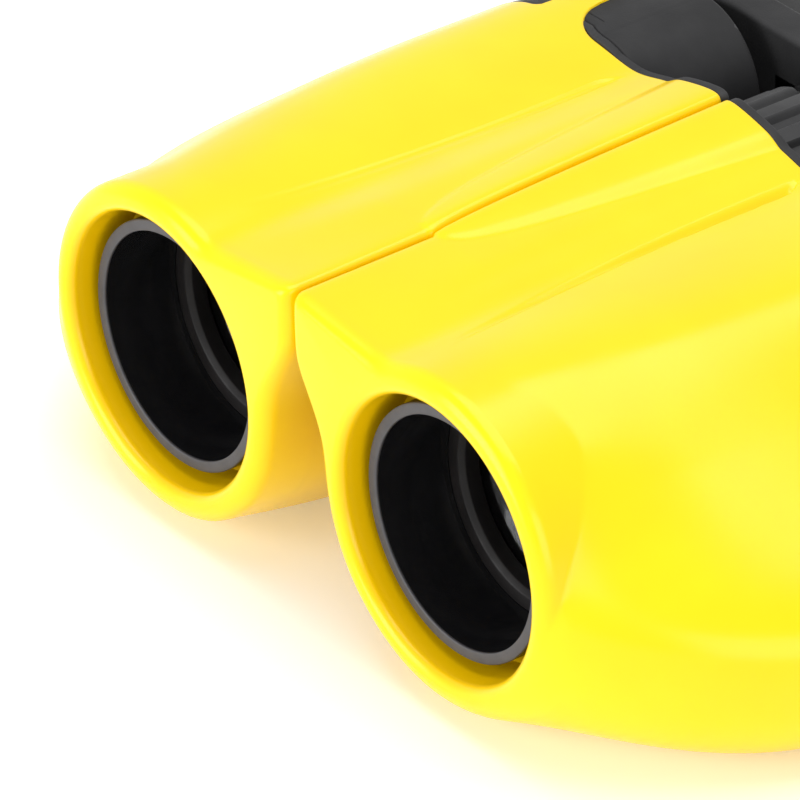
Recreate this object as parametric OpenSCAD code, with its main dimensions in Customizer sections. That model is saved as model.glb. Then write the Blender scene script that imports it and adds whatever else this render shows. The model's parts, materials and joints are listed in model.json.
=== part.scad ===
// Compact toy binoculars: two hinged halves with folded light paths, centre focus and a dioptre ring.
// +X is the right half, -Y the objective end, +Y the eyepiece end, +Z up.
// The origin is the centre of the box that holds the whole object, at the surface that it rests on.
// Inside the modules, lengths along Y are counted from the front face of the objective cells,
// and heights from the objective axes.

/* [Objectives] */
// Distance between the two objective axes
objective_spacing = 40.5; // [39.5:0.1:43]
// Outer radius of the objective cell
cell_r = 12; // [11.5:0.1:12.4]
// Wall of the objective cell
cell_wall = 1.1; // [0.8:0.1:1.4]
// Gap between the back of the objective cell and the straps of the prisms
cell_gap = 3.9; // [2:0.1:6]
// Depth of the lens retaining ring behind the front of the cell
retainer_depth = 7.9; // [5:0.1:10]
// Width of the lens retaining ring along the axis
retainer_width = 2; // [1:0.1:3]
// Clear opening radius of the lens retaining ring
retainer_hole_r = 9; // [8:0.1:9.5]
// Thickness of the objective lens at its edge
lens_edge = 3; // [2:0.1:4]
// Bulge of each face of the objective lens
lens_bulge = 1.6; // [0.8:0.1:2]
// Height of the shoulder that the objective lens sits against
lens_shoulder = 1.3; // [0.8:0.1:2]

/* [Front shell] */
// How far the front lip stands before the objective cell
lip_front = 2.3; // [1.5:0.1:3.5]
// Radius of the front lip
lip_r = 16; // [15.6:0.1:16.2]
// Radius of the hood opening round the cell
throat_r = 13.3; // [12.8:0.1:13.6]
// Rounding of the outer edge of the lip
lip_round = 1.4; // [0.8:0.1:1.5]
// Rounding of the inner edge of the lip
throat_round = 0.9; // [0.4:0.1:1]
// Where the front shell ends and the rear cover begins
joint_y = 46.6; // [45:0.1:49]
// Length over which the housing flares out
flare_length = 32; // [26:0.5:38]
// How much later the upper shoulder starts to flare than the side
shoulder_delay = 8; // [4:0.5:12]
// Height of the barrel crest above the objective axis
crest_rise = 16.4; // [15.8:0.1:17]
// Distance of the crest's slope towards the web from the objective axis
inner_slope_reach = 16.8; // [16.4:0.1:17.4]
// Distance of the sloping shoulder from the objective axis
slope_reach = 18.4; // [17.5:0.1:19.5]
// Distance of the outer side wall from the objective axis
side_reach = 34; // [31:0.1:37]
// Distance of the sloping lower side from the objective axis
low_side_reach = 29.8; // [28.8:0.1:31]
// Distance of the belly from the objective axis
belly_reach = 20.2; // [19.4:0.1:20.8]
// Depth of the flat rest below the objective axis
rest_drop = 18.3; // [17.9:0.1:18.4]
// Gap between the inner wall and the other half's knuckles, on the level of the axes
inner_gap = 0.45; // [0.3:0.05:0.8]
// Distance of the lower inner wall from the objective axis
inner_low_reach = 16.7; // [15.8:0.1:17]
// Wall of the shell and of the cover, across the barrel
wall = 2.2; // [1.8:0.1:2.6]
// Where the seat of the objective cell begins
seat_y = 5; // [4:0.1:7]
// Length of the seat of the objective cell
seat_length = 3; // [2:0.1:4]

/* [Web and spine] */
// Gap between the two halves at the seam
seam_gap = 0.3; // [0.2:0.05:0.6]
// Height of the web at the seam above the objective axes
web_rise = 15.9; // [15.4:0.1:16.4]
// Gain in height of the web towards its back end
web_gain = 0.6; // [0.3:0.1:0.9]
// Half width of the web's level top
web_half = 7.6; // [7:0.1:8.4]
// Height of the underside of the web at the front face
web_foot = 9.9; // [9:0.1:11]
// Height of the underside of the web over the hinge
web_under = 12.9; // [12.6:0.1:13.2]
// Depth of the front face of the web
web_depth = 4; // [3:0.1:5]
// Length over which the underside of the web steps up
web_step = 1.5; // [1:0.1:2]
// Where the spine starts
spine_y = 13.6; // [12:0.1:16]
// Gain in height of the spine at its back end
spine_gain = 1.85; // [1.5:0.05:2.2]
// Half width of the spine at its back end
spine_half = 7.4; // [6.5:0.1:8]

/* [Rear cover] */
// Where the rear cover ends
cover_end = 60; // [59:0.1:60.1]
// Width of the rim that meets the front shell
rim_width = 1.6; // [1.2:0.1:2]
// Step down from the rim to the rest of the cover
rim_step = 0.5; // [0.3:0.1:0.8]
// Where the shell's tongue on the crest ends
tongue_end = 56.5; // [52:0.1:57]
// Half width of the pit round the focus wheel
pit_half = 10.5; // [10:0.1:11.5]
// Distance of the shoulder that rolls into the pit from the objective axis
pit_roll_reach = 15.2; // [14.5:0.1:15.6]
// Rounding of the back edge of the cover
back_round = 1.6; // [1:0.1:2]
// Thickness of the back wall of the cover
back_wall = 2; // [1.6:0.1:2.4]
// Bore radius of the strap eyelet
eyelet_r = 1.6; // [1.2:0.1:2]
// Wall of the strap eyelet
eyelet_wall = 1.5; // [1.2:0.1:1.8]
// Height of the strap eyelet
eyelet_height = 4; // [3:0.1:6]

/* [Hinge] */
// Height of the hinge and focus axis above the objective axes
hinge_rise = 5.7; // [5.5:0.05:5.9]
// Radius of the hinge knuckles
knuckle_r = 4.6; // [4.2:0.1:4.8]
// Radius of the hinge tube
hinge_tube_r = 3; // [2.8:0.05:3.2]
// Bore radius of the hinge tube
hinge_tube_bore = 2.2; // [2.15:0.05:2.4]
// Where the first knuckle starts
knuckle_y = 8; // [7:0.1:10]
// Length of one knuckle
knuckle_length = 8; // [7:0.1:8.3]
// Thickness of the washers between the knuckles
washer_thickness = 0.4; // [0.3:0.05:0.6]
// Thickness of the cap on the front end of the hinge
hinge_cap_thickness = 1.4; // [1:0.1:2]

/* [Focus] */
// Radius of the focus wheel over its ribs
wheel_r = 9; // [8.4:0.1:9.4]
// Depth of the grooves between the ribs
rib_depth = 0.6; // [0.4:0.1:0.9]
// Number of ribs on the focus wheel
rib_count = 16; // [14:1:24]
// Front face of the focus wheel
wheel_y = 49.4; // [49.2:0.1:50]
// Width of the focus wheel
wheel_width = 8; // [7:0.1:8.1]
// Radius of the journals at the two ends of the focus wheel
journal_r = 3.4; // [3.2:0.05:3.6]
// Radius of the lugs that hold the journals
lug_r = 4.8; // [4.6:0.05:4.9]
// Thickness of the front lug
front_lug = 2; // [1.6:0.1:2]
// Radius of the focus screw
screw_r = 2; // [1.8:0.05:2.05]
// Pitch of the thread grooves on the focus screw
thread_pitch = 1; // [0.7:0.1:1.4]
// Depth of the thread grooves on the focus screw
thread_depth = 0.25; // [0.15:0.05:0.35]
// How far the focus screw reaches into the hinge tube
screw_reach = 12; // [8:0.5:16]
// Travel of the eyepieces each way from the middle of the focus
focus_travel = 2; // [1:0.1:2.2]

/* [Prisms] */
// Sideways step of the light in each prism
prism_step = 10.1; // [9.5:0.05:10.4]
// Direction of the first step, in degrees above the level
prism_turn = 28.7; // [20:0.1:35]
// Half width of each prism
prism_half_width = 4.8; // [4:0.1:5]
// Flat ground on each prism's sharp edges
prism_flat = 0.8; // [0.4:0.1:1.2]
// Front face of the prism cage
cage_y = 36.5; // [35.5:0.1:37]
// Thickness of the prism cage
cage_thickness = 2; // [1.5:0.1:2.4]
// Radius of the light holes in the prism cage
light_hole_r = 4.3; // [3.5:0.1:4.5]
// Width of the straps that hold the prisms
strap_width = 4; // [3:0.1:5]
// Thickness of the straps that hold the prisms
strap_thickness = 0.5; // [0.3:0.05:0.8]

/* [Eyepieces] */
// Step in radius from the eyepiece barrel to the part that slides in the rear cover
guide_step = 2; // [1.6:0.05:2.4]
// Wall of the guide in the rear cover
guide_wall = 1.4; // [1.2:0.1:1.5]
// Wall of the eyepiece tube where it slides
tube_wall = 1.3; // [1.1:0.1:1.6]
// Radius of the eyepiece barrel
barrel_r = 11; // [10.6:0.1:11.4]
// Thickness of the eyepiece bridge along the axis
bridge_thickness = 4; // [3.6:0.1:4.4]
// Wall of the bridge ring round the eyepiece barrel
bridge_ring_wall = 2.2; // [1.8:0.1:2.4]
// Radius of the bridge knuckles
bridge_knuckle_r = 8.8; // [8:0.1:9]
// Length of the straight top of the bridge arm
bridge_flat = 21; // [18:0.5:24]
// Width of the ring between the bridge and the eyecup
ring_width = 5; // [4:0.1:5.2]
// Length of the eyecup
eyecup_length = 10; // [8:0.1:12]
// Outer radius of the eyecup at its mouth
eyecup_r = 13.8; // [13.2:0.1:14]
// Bulge of the eyecup's waist inwards
eyecup_waist = 0.9; // [0.4:0.1:1.2]
// Wall of the eyepiece barrel round the eye lens
eye_lens_wall = 2.8; // [2.6:0.1:3]
// Thickness of the eye lens at its edge
eye_lens_edge = 2.6; // [2:0.1:3]
// Bulge of each face of the eye lens
eye_lens_bulge = 1.2; // [0.6:0.1:1.4]
// Width of the eye lens retainer across its ring
eye_retainer_lip = 1.2; // [0.8:0.1:1.6]
// Width of the eye lens retainer along the axis
eye_retainer_width = 1.6; // [1:0.1:2]
// Thickness of the field lens at its edge
field_lens_edge = 2.4; // [2:0.1:3]
// Travel of the dioptre adjustment each way
dioptre_travel = 0.8; // [0.4:0.1:0.9]

/* [Screws and fits] */
// Radius of the shank of a cover screw
screw_shank_r = 1; // [0.8:0.05:1.1]
// Radius of the head of a cover screw
screw_head_r = 1.9; // [1.6:0.05:2]
// Height of the head of a cover screw
screw_head = 1.2; // [1:0.1:1.4]
// Depth of a cover screw in the shell boss
screw_bite = 6; // [4:0.5:8]
// Radius of the screw bosses and pillars
boss_r = 2.7; // [2.5:0.1:2.8]
// Clearance of a running fit, at the radius
run_fit = 0.05; // [0.02:0.01:0.1]
// Clearance of a fixed seat, at the radius
seat_fit = 0.02; // [0.01:0.01:0.05]
// Clearance between faces that pass each other
face_gap = 0.3; // [0.2:0.05:0.4]

/* [Hidden] */
$fn = 96;

// Overrun of every cut past the face that it opens
over = 1;
// Facets of a lens face's whole sphere, of which the lens is a small cap
lens_facets = 360;
half_spacing = objective_spacing / 2;
barrel = [half_spacing, 0];

// Angles of the normals of the housing's side lines, in the plane across the barrels
inner_slope_angle = 108;
slope_angle = 53;
side_angle = -10;
low_side_angle = -55;
inner_low_angle = 218;
pit_roll_angle = 128;
// Lean of the web's top at its front and behind the start of the spine, and of its flank
web_angles = [83, 89];
web_flank_angle = 70;
belly_angle = -60;
tongue_angle = 68;
front_foot_angle = 212;
hinge_foot_angle = 230;
seam_angle = 143.7;

// Powers that set how round the corners and the blends of a section are
corner_power = 14;
edge_power = 40;
blend_power = 20;
foot_power = 12;
flare_power = 2;
belly_power = 2.5;
delay_power = 4;
spine_rise_power = 0.31;
spine_width_power = 0.33;
// Sides of the spine's hump: a point on each and its run and rise, as shares of the spine's half width and gain
hump_shares = [[0.54, 0.71, 0.4, 0.42], [0.93, 0.09, 0.2, 0.38]];

// Half of the tongue's spread round the barrel axis, and of the notch that it passes the rim in, in degrees
tongue_spread = 9;
notch_spread = 17;
// The tongue's rings: how far back, and how wide, as shares
tongue_shares = [[0, 1], [0.75, 1], [0.93, 0.8], [1, 0.5]];
tongue_points = 6;

// Points in one ring of a shell, and how strongly they crowd towards the seam, in degrees
ring_points = 72;
crowding = 38;

// Stations of the shell's rings as shares of its length behind the lip
outer_shares = [0.06, 0.12, 0.165, 0.21, 0.26, 0.32, 0.4, 0.5, 0.62, 0.8, 1];
inner_shares = [1, 0.7, 0.5, 0.38, 0.29];
// Steps round the lip's edge and round the back edge of the cover, as shares of a quarter turn
lip_turn_shares = [0, 0.4, 1];
back_turn_shares = [0, 0.5, 1];

// Places in the front shell
shell_length = joint_y + lip_front;
inner_reach = half_spacing - knuckle_r - inner_gap;
seat_hole_r = cell_r + seat_fit;
// The seat is moulded a little tight and then bored to size
seat_moulded_r = cell_r - wall / 4;
seat_end = seat_y + seat_length;

// Places along the hinge axis
washer_room = washer_thickness + 2 * run_fit;
knuckle_pitch = knuckle_length + washer_room;
hinge_end = knuckle_y + 4 * knuckle_pitch - washer_room;
knuckle_starts = [for (i = [0 : 3]) knuckle_y + i * knuckle_pitch];
left_knuckles = [knuckle_starts[0], knuckle_starts[2]];
right_knuckles = [knuckle_starts[1], knuckle_starts[3]];
arm_share = 0.6;
arm_bite_share = 1.3;
knuckle_arm = half_spacing - inner_reach + arm_bite_share * wall;
lug_y = wheel_y - face_gap - front_lug;
back_lug_y = wheel_y + wheel_width + face_gap;
back_bite_share = 0.75;
back_arm = pit_half + rim_step + back_bite_share * wall;
wheel_bore_r = screw_r + run_fit;
screw_start = hinge_end - screw_reach;

// Places along the prisms
cage_back = cage_y + cage_thickness;
prism_room = prism_step + strap_thickness + seat_fit;
prism_top = cage_back + prism_room;

// Places in the objective cell
cell_length = cage_y - prism_room - cell_gap;
cell_bore_r = cell_r - cell_wall;
lens_r = cell_bore_r - seat_fit;
shoulder_r = cell_bore_r - lens_shoulder;
lens_y = retainer_depth + retainer_width + lens_sag(lens_r, lens_bulge, retainer_hole_r) + seat_fit;
shoulder_y = lens_y + lens_edge + lens_sag(lens_r, lens_bulge, shoulder_r) + seat_fit;

// Places along the eyepiece axis
bridge_y = cover_end + focus_travel + face_gap;
bridge_end = bridge_y + bridge_thickness;
bridge_mid = (bridge_y + bridge_end) / 2;
bridge_ring_r = barrel_r + bridge_ring_wall;
ring_y = bridge_end + face_gap;
ring_end = ring_y + ring_width;
eyecup_y = ring_end + face_gap + dioptre_travel;
eyecup_end = eyecup_y + eyecup_length;
barrel_end = eyecup_y + eyecup_length / 2;
tube_front = prism_top + focus_travel + face_gap;
guide_r = barrel_r - guide_step;
guide_front = tube_front + focus_travel;
eye_lens_r = barrel_r - eye_lens_wall;
eye_hole_r = eye_lens_r - eye_retainer_lip;
lens_bore_r = guide_r - tube_wall;
field_lens_y = tube_front + tube_wall;
ocular_r = barrel_r - tube_wall;
ocular_bore_y = bridge_y + face_gap;
ocular_y = ocular_bore_y + dioptre_travel + face_gap;
eye_seat_sag = lens_sag(eye_lens_r, eye_lens_bulge, lens_bore_r);
eye_lens_y = ring_y + eye_seat_sag + seat_fit;
eye_retainer_y = eye_lens_y + eye_lens_edge + lens_sag(eye_lens_r, eye_lens_bulge, eye_hole_r) + seat_fit;
nut_r = bridge_knuckle_r / 2;
nut_thickness = bridge_thickness / 2;
nut_y = bridge_end + face_gap / 2;
nut_depth_share = 0.6;
nut_floor = nut_y + nut_depth_share * nut_thickness;

// Light path: the first prism steps the light outwards and up, the second outwards and down
step_out = [cos(prism_turn), sin(prism_turn)];
step_down = [sin(prism_turn), -cos(prism_turn)];
light_mid = barrel + prism_step * step_out;
light_eye = light_mid + prism_step * step_down;
rear_prism_mid = (barrel + light_mid) / 2;
front_prism_mid = (light_mid + light_eye) / 2;
cage_room_share = 1.4;
cage_r = inner_reach - cage_room_share * wall;
// Slope of a half of the corner between a prism's long side and its short side
bevel = tan(22.5);

// Screw bosses: one on the belly, one by the outer side wall
belly_boss_shares = [0.2, -0.751];
side_boss_shares = [0.765, -0.31];
belly_boss = barrel + rest_drop * belly_boss_shares;
side_boss = barrel + side_reach * side_boss_shares;
bosses = [belly_boss, side_boss];
boss_front = cage_y - 2 * screw_bite;
boss_rib = half_spacing + side_reach - 2 * wall - side_boss[0];
pillar_r = 2 * screw_shank_r;
screw_hole_r = screw_shank_r + run_fit;
head_hole_r = screw_head_r + run_fit;
screw_tip = cage_y - screw_bite;
slot_width = screw_head_r / 3;

// Strap eyelet behind the outer corner of the cover
eyelet_x = half_spacing + side_reach - back_round - rim_step - eyelet_r;
eyelet_ring_r = eyelet_r + eyelet_wall;
eyelet_y = cover_end + eyelet_r + eyelet_wall / 2;
eyelet_drop = eyelet_height + eyelet_wall;

// Place of the front of the objective axes in the frame of the whole part
part_y = (lip_front - eyecup_end) / 2;
part_z = rest_drop;

yellow = [1, 0.86, 0.05];
black = [0.12, 0.12, 0.13];
grey = [0.34, 0.33, 0.35];
steel = [0.7, 0.71, 0.72];
brass = [0.72, 0.58, 0.28];
glass = [0.35, 0.42, 0.5];
rubber = [0.08, 0.08, 0.08];
nylon = [0.85, 0.84, 0.8];

function clamp01(t) = min(1, max(0, t));
function total(v, i = 0) = i < len(v) ? v[i] + total(v, i + 1) : 0;

// How far a round lens face stands above its edge at radius r
function face_r(edge_r, bulge) = (edge_r * edge_r + bulge * bulge) / (2 * bulge);
function lens_sag(edge_r, bulge, r) =
  let (f = face_r(edge_r, bulge)) sqrt(f * f - r * r) - f + bulge;

// Distance from the barrel axis to the line through p whose normal has angle n
function reach(n, p) = cos(n) * (p[0] - half_spacing) + sin(n) * p[1];

// Radius, in direction a, of a polygon with rounded corners given by its side lines [normal, distance]
function rounded(a, lines, power = corner_power) =
  pow(total([for (l = lines) pow(max(0, cos(a - l[0])) / l[1], power)]), -1 / power);

// The larger of two radii, with a rounded meeting
function blend_max(p, q, power) = pow(pow(p, power) + pow(q, power), 1 / power);

outer_lines = [
  [90, crest_rise], [slope_angle, slope_reach], [side_angle, side_reach],
  [low_side_angle, low_side_reach], [-90, belly_reach], [inner_low_angle, inner_low_reach]
];
housing_lines = concat(outer_lines, [[180, inner_reach], [inner_slope_angle, inner_slope_reach]]);
pit_lines = concat(outer_lines, [[180, half_spacing - pit_half], [pit_roll_angle, pit_roll_reach]]);

// How far the section has grown from the lip's circle to the full housing, from 0 to 1:
// the upper shoulder starts late and the belly grows fast
function flare(a, y) =
  let (delay = shoulder_delay * pow(max(0, cos(a - slope_angle)), delay_power))
  let (t = clamp01((y + lip_front - delay) / flare_length))
  let (low = max(0, cos(a - belly_angle)))
  1 - pow(1 - t, flare_power + (belly_power - flare_power) * low);

function body_r(a, y) = lip_r + (rounded(a, housing_lines) - lip_r) * flare(a, y);

// Lines that close the web and the spine at the seam, from below and inside the barrel
function seam_lines(y) =
  let (t = clamp01((y - web_depth) / web_step))
  let (under = web_foot + (web_under - web_foot) * t)
  let (n = front_foot_angle + (hinge_foot_angle - front_foot_angle) * t)
  [[180, half_spacing - seam_gap / 2], [n, reach(n, [0, under])], [0, wall], [-90, lip_r / 2]];

function web_top(y) = web_rise + web_gain * clamp01(y / joint_y);

function web_angle(y) = web_angles[0] + (web_angles[1] - web_angles[0]) * clamp01(y / spine_y);

function web_r(a, y) =
  let (n = web_angle(y), flank = reach(web_flank_angle, [web_half, web_top(y)]))
  rounded(a, concat(seam_lines(y), [[n, reach(n, [0, web_top(y)])], [web_flank_angle, flank]]), edge_power);

function spine_r(a, y) =
  let (t = clamp01((y - spine_y) / (joint_y - spine_y)))
  let (gain = spine_gain * pow(t, spine_rise_power))
  let (half = spine_half * pow(t, spine_width_power))
  let (hump = [
    for (s = hump_shares)
      let (n = atan2(s[2] * half, s[3] * gain)) [n, reach(n, [s[0] * half, web_top(y) + s[1] * gain])]
  ])
  let (top = [web_angle(y), reach(web_angle(y), [0, web_top(y) + gain])])
  rounded(a, concat(seam_lines(y), [top], hump), edge_power);

function outer_r(a, y) =
  let (power = a > seam_angle ? foot_power : blend_power)
  let (edge = blend_max(body_r(a, y), web_r(a, y), power))
  y > spine_y ? max(edge, spine_r(a, y)) : edge;

function cover_r(a) = rounded(a, pit_lines) - rim_step;

angles = [
  for (j = [0 : ring_points - 1])
    let (t = 360 * j / ring_points) t - crowding * sin(t - seam_angle)
];

// A ring's point at angle a, inset from radius r; nothing reaches below the flat rest, inset alike
function ring_point(a, r, y, inset = 0) =
  [half_spacing + (r - inset) * cos(a), y, max((r - inset) * sin(a), inset - rest_drop)];

function outer_ring(y, inset = 0) = [for (a = angles) ring_point(a, outer_r(a, y), y, inset)];
function inner_ring(y, inset = wall) = [for (a = angles) ring_point(a, body_r(a, y), y, inset)];
function round_ring(r, y) = [for (a = angles) ring_point(a, r, y)];
function cover_ring(y, inset = 0) = [for (a = angles) ring_point(a, cover_r(a), y, inset)];

// The outline of the room inside the shell at y, drawn in X and Z
function room(y) = [for (p = inner_ring(y, wall + face_gap)) [p[0], p[2]]];

// The rim follows the shell's end, but for the notch for the tongue
function rim_ring(y) = [
  for (a = angles)
    ring_point(a, abs(a - tongue_angle) < notch_spread ? cover_r(a) : outer_r(a, joint_y), y)
];

function lip_ring(q) =
  outer_ring(lip_round * (1 - cos(90 * q)) - lip_front, lip_round * (1 - sin(90 * q)));

function back_ring(q) =
  cover_ring(cover_end - back_round * (1 - sin(90 * q)), back_round * (1 - cos(90 * q)));

function flat(rings) = [for (r = rings) for (p = r) p];

// Triangles between ring i and ring k
function band(i, k) = [
  for (j = [0 : ring_points - 1])
    let (n = (j + 1) % ring_points, a = i * ring_points, b = k * ring_points)
    for (f = [[a + j, a + n, b + n], [a + j, b + n, b + j]]) f
];

module in_part() translate([0, part_y, part_z]) children();
module left() mirror([1, 0, 0]) children();

// A bar of radius r along Y
module rod(r, y0, y1) translate([0, y0, 0]) rotate([-90, 0, 0]) cylinder(r = r, h = y1 - y0);

module tube(r, hole_r, y0, y1) difference() {
  rod(r, y0, y1);
  rod(hole_r, y0 - over, y1 + over);
}

// A flat outline across the barrels, drawn in X and Z, from y0 to y1
module slab(y0, y1) translate([0, y1, 0]) rotate([90, 0, 0]) linear_extrude(y1 - y0) children();

module at(p) translate([p[0], 0, p[1]]) children();
module at_barrel() at(barrel) children();
module at_hinge() at([0, hinge_rise]) children();
module at_eye() at(light_eye) children();

// A lens with two round faces and a straight edge from y0
module lens(r, edge, bulge, y0) {
  f = face_r(r, bulge);
  intersection() {
    rod(r, y0 - bulge - over, y0 + edge + bulge + over);
    translate([0, y0 - bulge + f, 0]) sphere(f, $fn = lens_facets);
    translate([0, y0 + edge + bulge - f, 0]) sphere(f, $fn = lens_facets);
  }
}

// A round piece with grip ribs along Y
module ribbed(r, depth, count, y0, y1) {
  step = 360 / count;
  rib_shares = [0.1, 0.4, 0.6, 0.9];
  slab(y0, y1) polygon([
    for (i = [0 : count - 1]) for (k = [0 : 3])
      let (a = (i + rib_shares[k]) * step, tip = k == 1 || k == 2 ? r : r - depth)
      [tip * cos(a), tip * sin(a)]
  ]);
}

// The moulded skin of one half, from the lip round the cell back to the joint
module shell_skin() {
  rings = concat(
    [for (q = lip_turn_shares) lip_ring(q)],
    [for (s = outer_shares) outer_ring(s * shell_length - lip_front)],
    [for (s = inner_shares) inner_ring(s * shell_length - lip_front)],
    [inner_ring(seat_end + wall / 2)],
    [round_ring(seat_moulded_r, seat_end), round_ring(seat_moulded_r, seat_y)],
    [round_ring(throat_r, seat_y - wall / 2), round_ring(throat_r, throat_round - lip_front)],
    [round_ring(throat_r + throat_round, -lip_front)]
  );
  count = len(rings);
  polyhedron(flat(rings), [for (i = [0 : count - 1]) for (f = band(i, (i + 1) % count)) f]);
}

// A thin tongue that lies on the cover, as one row of rings of outer and inner points
module tongue() {
  start = joint_y - wall;
  turns = [for (k = [0 : tongue_points]) 1 - 2 * k / tongue_points];
  rings = [
    for (s = tongue_shares)
      let (y = start + (tongue_end - start) * s[0], spread = tongue_spread * s[1])
      concat(
        [for (t = turns) let (a = tongue_angle + t * spread) ring_point(a, cover_r(a) + rim_step, y)],
        [for (t = turns) let (a = tongue_angle - t * spread) ring_point(a, cover_r(a) + seat_fit, y)]
      )
  ];
  size = len(rings[0]);
  last = (len(rings) - 1) * size;
  skin = [
    for (i = [0 : len(rings) - 2]) for (j = [0 : size - 1])
      let (a = i * size, b = a + size, n = (j + 1) % size)
      for (f = [[a + j, b + j, b + n], [a + j, b + n, a + n]]) f
  ];
  end = [
    for (j = [0 : tongue_points - 1])
      for (f = [[j, j + 1, size - 2 - j], [j, size - 2 - j, size - 1 - j]]) f
  ];
  far_end = [for (f = end) [f[0] + last, f[2] + last, f[1] + last]];
  polyhedron(flat(rings), concat(skin, end, far_end));
}

// The skin of the rear cover: a cup with a rim as wide as the front shell and a closed back
module cover_skin() {
  rings = concat(
    [cover_ring(cover_end - back_wall, wall), cover_ring(joint_y, wall)],
    [rim_ring(joint_y), rim_ring(joint_y + rim_width)],
    [cover_ring(joint_y + rim_width + rim_step / 2)],
    [for (q = back_turn_shares) back_ring(q)]
  );
  count = len(rings);
  last = count * ring_points;
  ends = [[half_spacing, cover_end - back_wall, 0], [half_spacing, cover_end, 0]];
  inside = [for (j = [0 : ring_points - 1]) [last, (j + 1) % ring_points, j]];
  outside = [
    for (j = [0 : ring_points - 1])
      let (b = last - ring_points) [b + j, b + (j + 1) % ring_points, last + 1]
  ];
  skin = [for (i = [0 : count - 2]) for (f = band(i, i + 1)) f];
  polyhedron(concat(flat(rings), ends), concat(inside, skin, outside));
}

// A knuckle or lug round the hinge axis with its arm to the housing
module knuckle(r, arm, y0, y1) {
  at_hinge() rod(r, y0, y1);
  at_hinge() slab(y0, y1) translate([0, -arm_share * r]) square([arm, 2 * arm_share * r]);
}

module front_shell(knuckles, hinge_hole_r) color(yellow) difference() {
  union() {
    shell_skin();
    tongue();
    for (b = bosses) at(b) rod(boss_r, boss_front, cage_y);
    at(side_boss) slab(boss_front, cage_y) translate([0, -boss_r / 2]) square([boss_rib, boss_r]);
    for (y = knuckles) knuckle(knuckle_r, knuckle_arm, y, y + knuckle_length);
  }
  at_barrel() rod(seat_hole_r, seat_y - over, seat_end + over);
  at_hinge() rod(hinge_hole_r, knuckle_y - over, hinge_end + over);
  for (b = bosses) at(b) rod(screw_shank_r + seat_fit, screw_tip - over, cage_y + over);
}

module eyelet() translate([eyelet_x, eyelet_y, -eyelet_drop]) {
  difference() {
    union() {
      cylinder(r = eyelet_ring_r, h = eyelet_height);
      translate([-eyelet_ring_r, cover_end - back_wall / 2 - eyelet_y, 0])
        cube([2 * eyelet_ring_r, eyelet_y - cover_end + back_wall / 2, eyelet_height]);
    }
    translate([0, 0, -over]) cylinder(r = eyelet_r, h = eyelet_height + 2 * over);
  }
}

module rear_cover(with_lugs) color(black) difference() {
  union() {
    cover_skin();
    at_eye() rod(guide_r + guide_wall, guide_front, cover_end - back_wall / 2);
    for (b = bosses) at(b) rod(pillar_r, cage_back, cover_end - back_wall / 2);
    eyelet();
    if (with_lugs) {
      knuckle(lug_r, knuckle_arm + wall, lug_y, wheel_y - face_gap);
      knuckle(lug_r, back_arm, back_lug_y, cover_end);
    }
  }
  at_eye() rod(guide_r + run_fit, guide_front - over, cover_end + over);
  for (b = bosses) at(b) {
    rod(screw_hole_r, cage_back - over, cover_end + over);
    rod(head_hole_r, cover_end - screw_head, cover_end + over);
  }
  if (with_lugs) at_hinge() rod(journal_r + run_fit, lug_y - over, cover_end + over);
}

module objective_cell() color(black) at_barrel() difference() {
  rod(cell_r, 0, cell_length);
  rod(cell_bore_r, -over, shoulder_y);
  rod(shoulder_r, 0, cell_length + over);
}

module objective_lens() color(glass) at_barrel() lens(lens_r, lens_edge, lens_bulge, lens_y);

module lens_retainer() color(grey) at_barrel()
  tube(lens_r, retainer_hole_r, retainer_depth, retainer_depth + retainer_width);

// An ear from p to the screw at b, drawn in X and Z
module ear(p, b) {
  ear_share = 0.9;
  half = ear_share * pillar_r;
  translate(b) circle(pillar_r);
  translate(p) rotate(atan2(b[1] - p[1], b[0] - p[0]))
    translate([0, -half]) square([norm(b - p), 2 * half]);
}

module prism_cage() color(black) difference() {
  slab(cage_y, cage_back) intersection() {
    polygon(room(cage_y));
    union() {
      translate(barrel) circle(cage_r);
      translate(light_eye) circle(guide_r + guide_wall);
      ear(barrel, belly_boss);
      ear(light_eye, side_boss);
    }
  }
  for (p = [barrel, light_mid, light_eye]) at(p) rod(light_hole_r, cage_y - over, cage_back + over);
  for (b = bosses) at(b) rod(screw_hole_r, cage_y - over, cage_back + over);
}

// Half of a folding prism's outline: the long side lies on the cage
function prism_outline(s, f) = [[s, 0], [s, f], [f, s], [-f, s], [-s, f], [-s, 0]];
function turned(v) = [for (i = [len(v) - 1 : -1 : 0]) v[i]];

// A strap's outline: a band of even thickness round the prism's outline
strap_in = prism_outline(prism_step + seat_fit, prism_flat + seat_fit * bevel);
strap_out = prism_outline(
  prism_step + seat_fit + strap_thickness, prism_flat + (seat_fit + strap_thickness) * bevel
);
strap_outline = concat(strap_out, turned(strap_in));

module across(p, angle, y0, width) translate([p[0], y0, p[1]]) rotate([0, -angle, 0])
  linear_extrude(width, center = true) children();

module rear_place(width) across(rear_prism_mid, prism_turn, cage_back, width) children();
module front_place(width)
  across(front_prism_mid, prism_turn - 90, cage_y, width) mirror([0, 1]) children();

module rear_prism() color(glass) rear_place(2 * prism_half_width)
  polygon(prism_outline(prism_step, prism_flat));
module front_prism() color(glass) front_place(2 * prism_half_width)
  polygon(prism_outline(prism_step, prism_flat));

module prism_straps() color(steel) {
  rear_place(strap_width) polygon(strap_outline);
  front_place(strap_width) polygon(strap_outline);
}

module cover_screws() color(steel) for (b = bosses) at(b) difference() {
  union() {
    rod(screw_shank_r, screw_tip, cover_end);
    rod(screw_head_r, cover_end - screw_head, cover_end);
  }
  for (turn = [0, 90]) rotate([0, turn, 0])
    translate([-2 * slot_width, cover_end - screw_head / 2, -slot_width / 2])
      cube([4 * slot_width, screw_head, slot_width]);
}

module hinge_tube() color(steel) at_hinge() tube(hinge_tube_r, hinge_tube_bore, knuckle_y, hinge_end);

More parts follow.
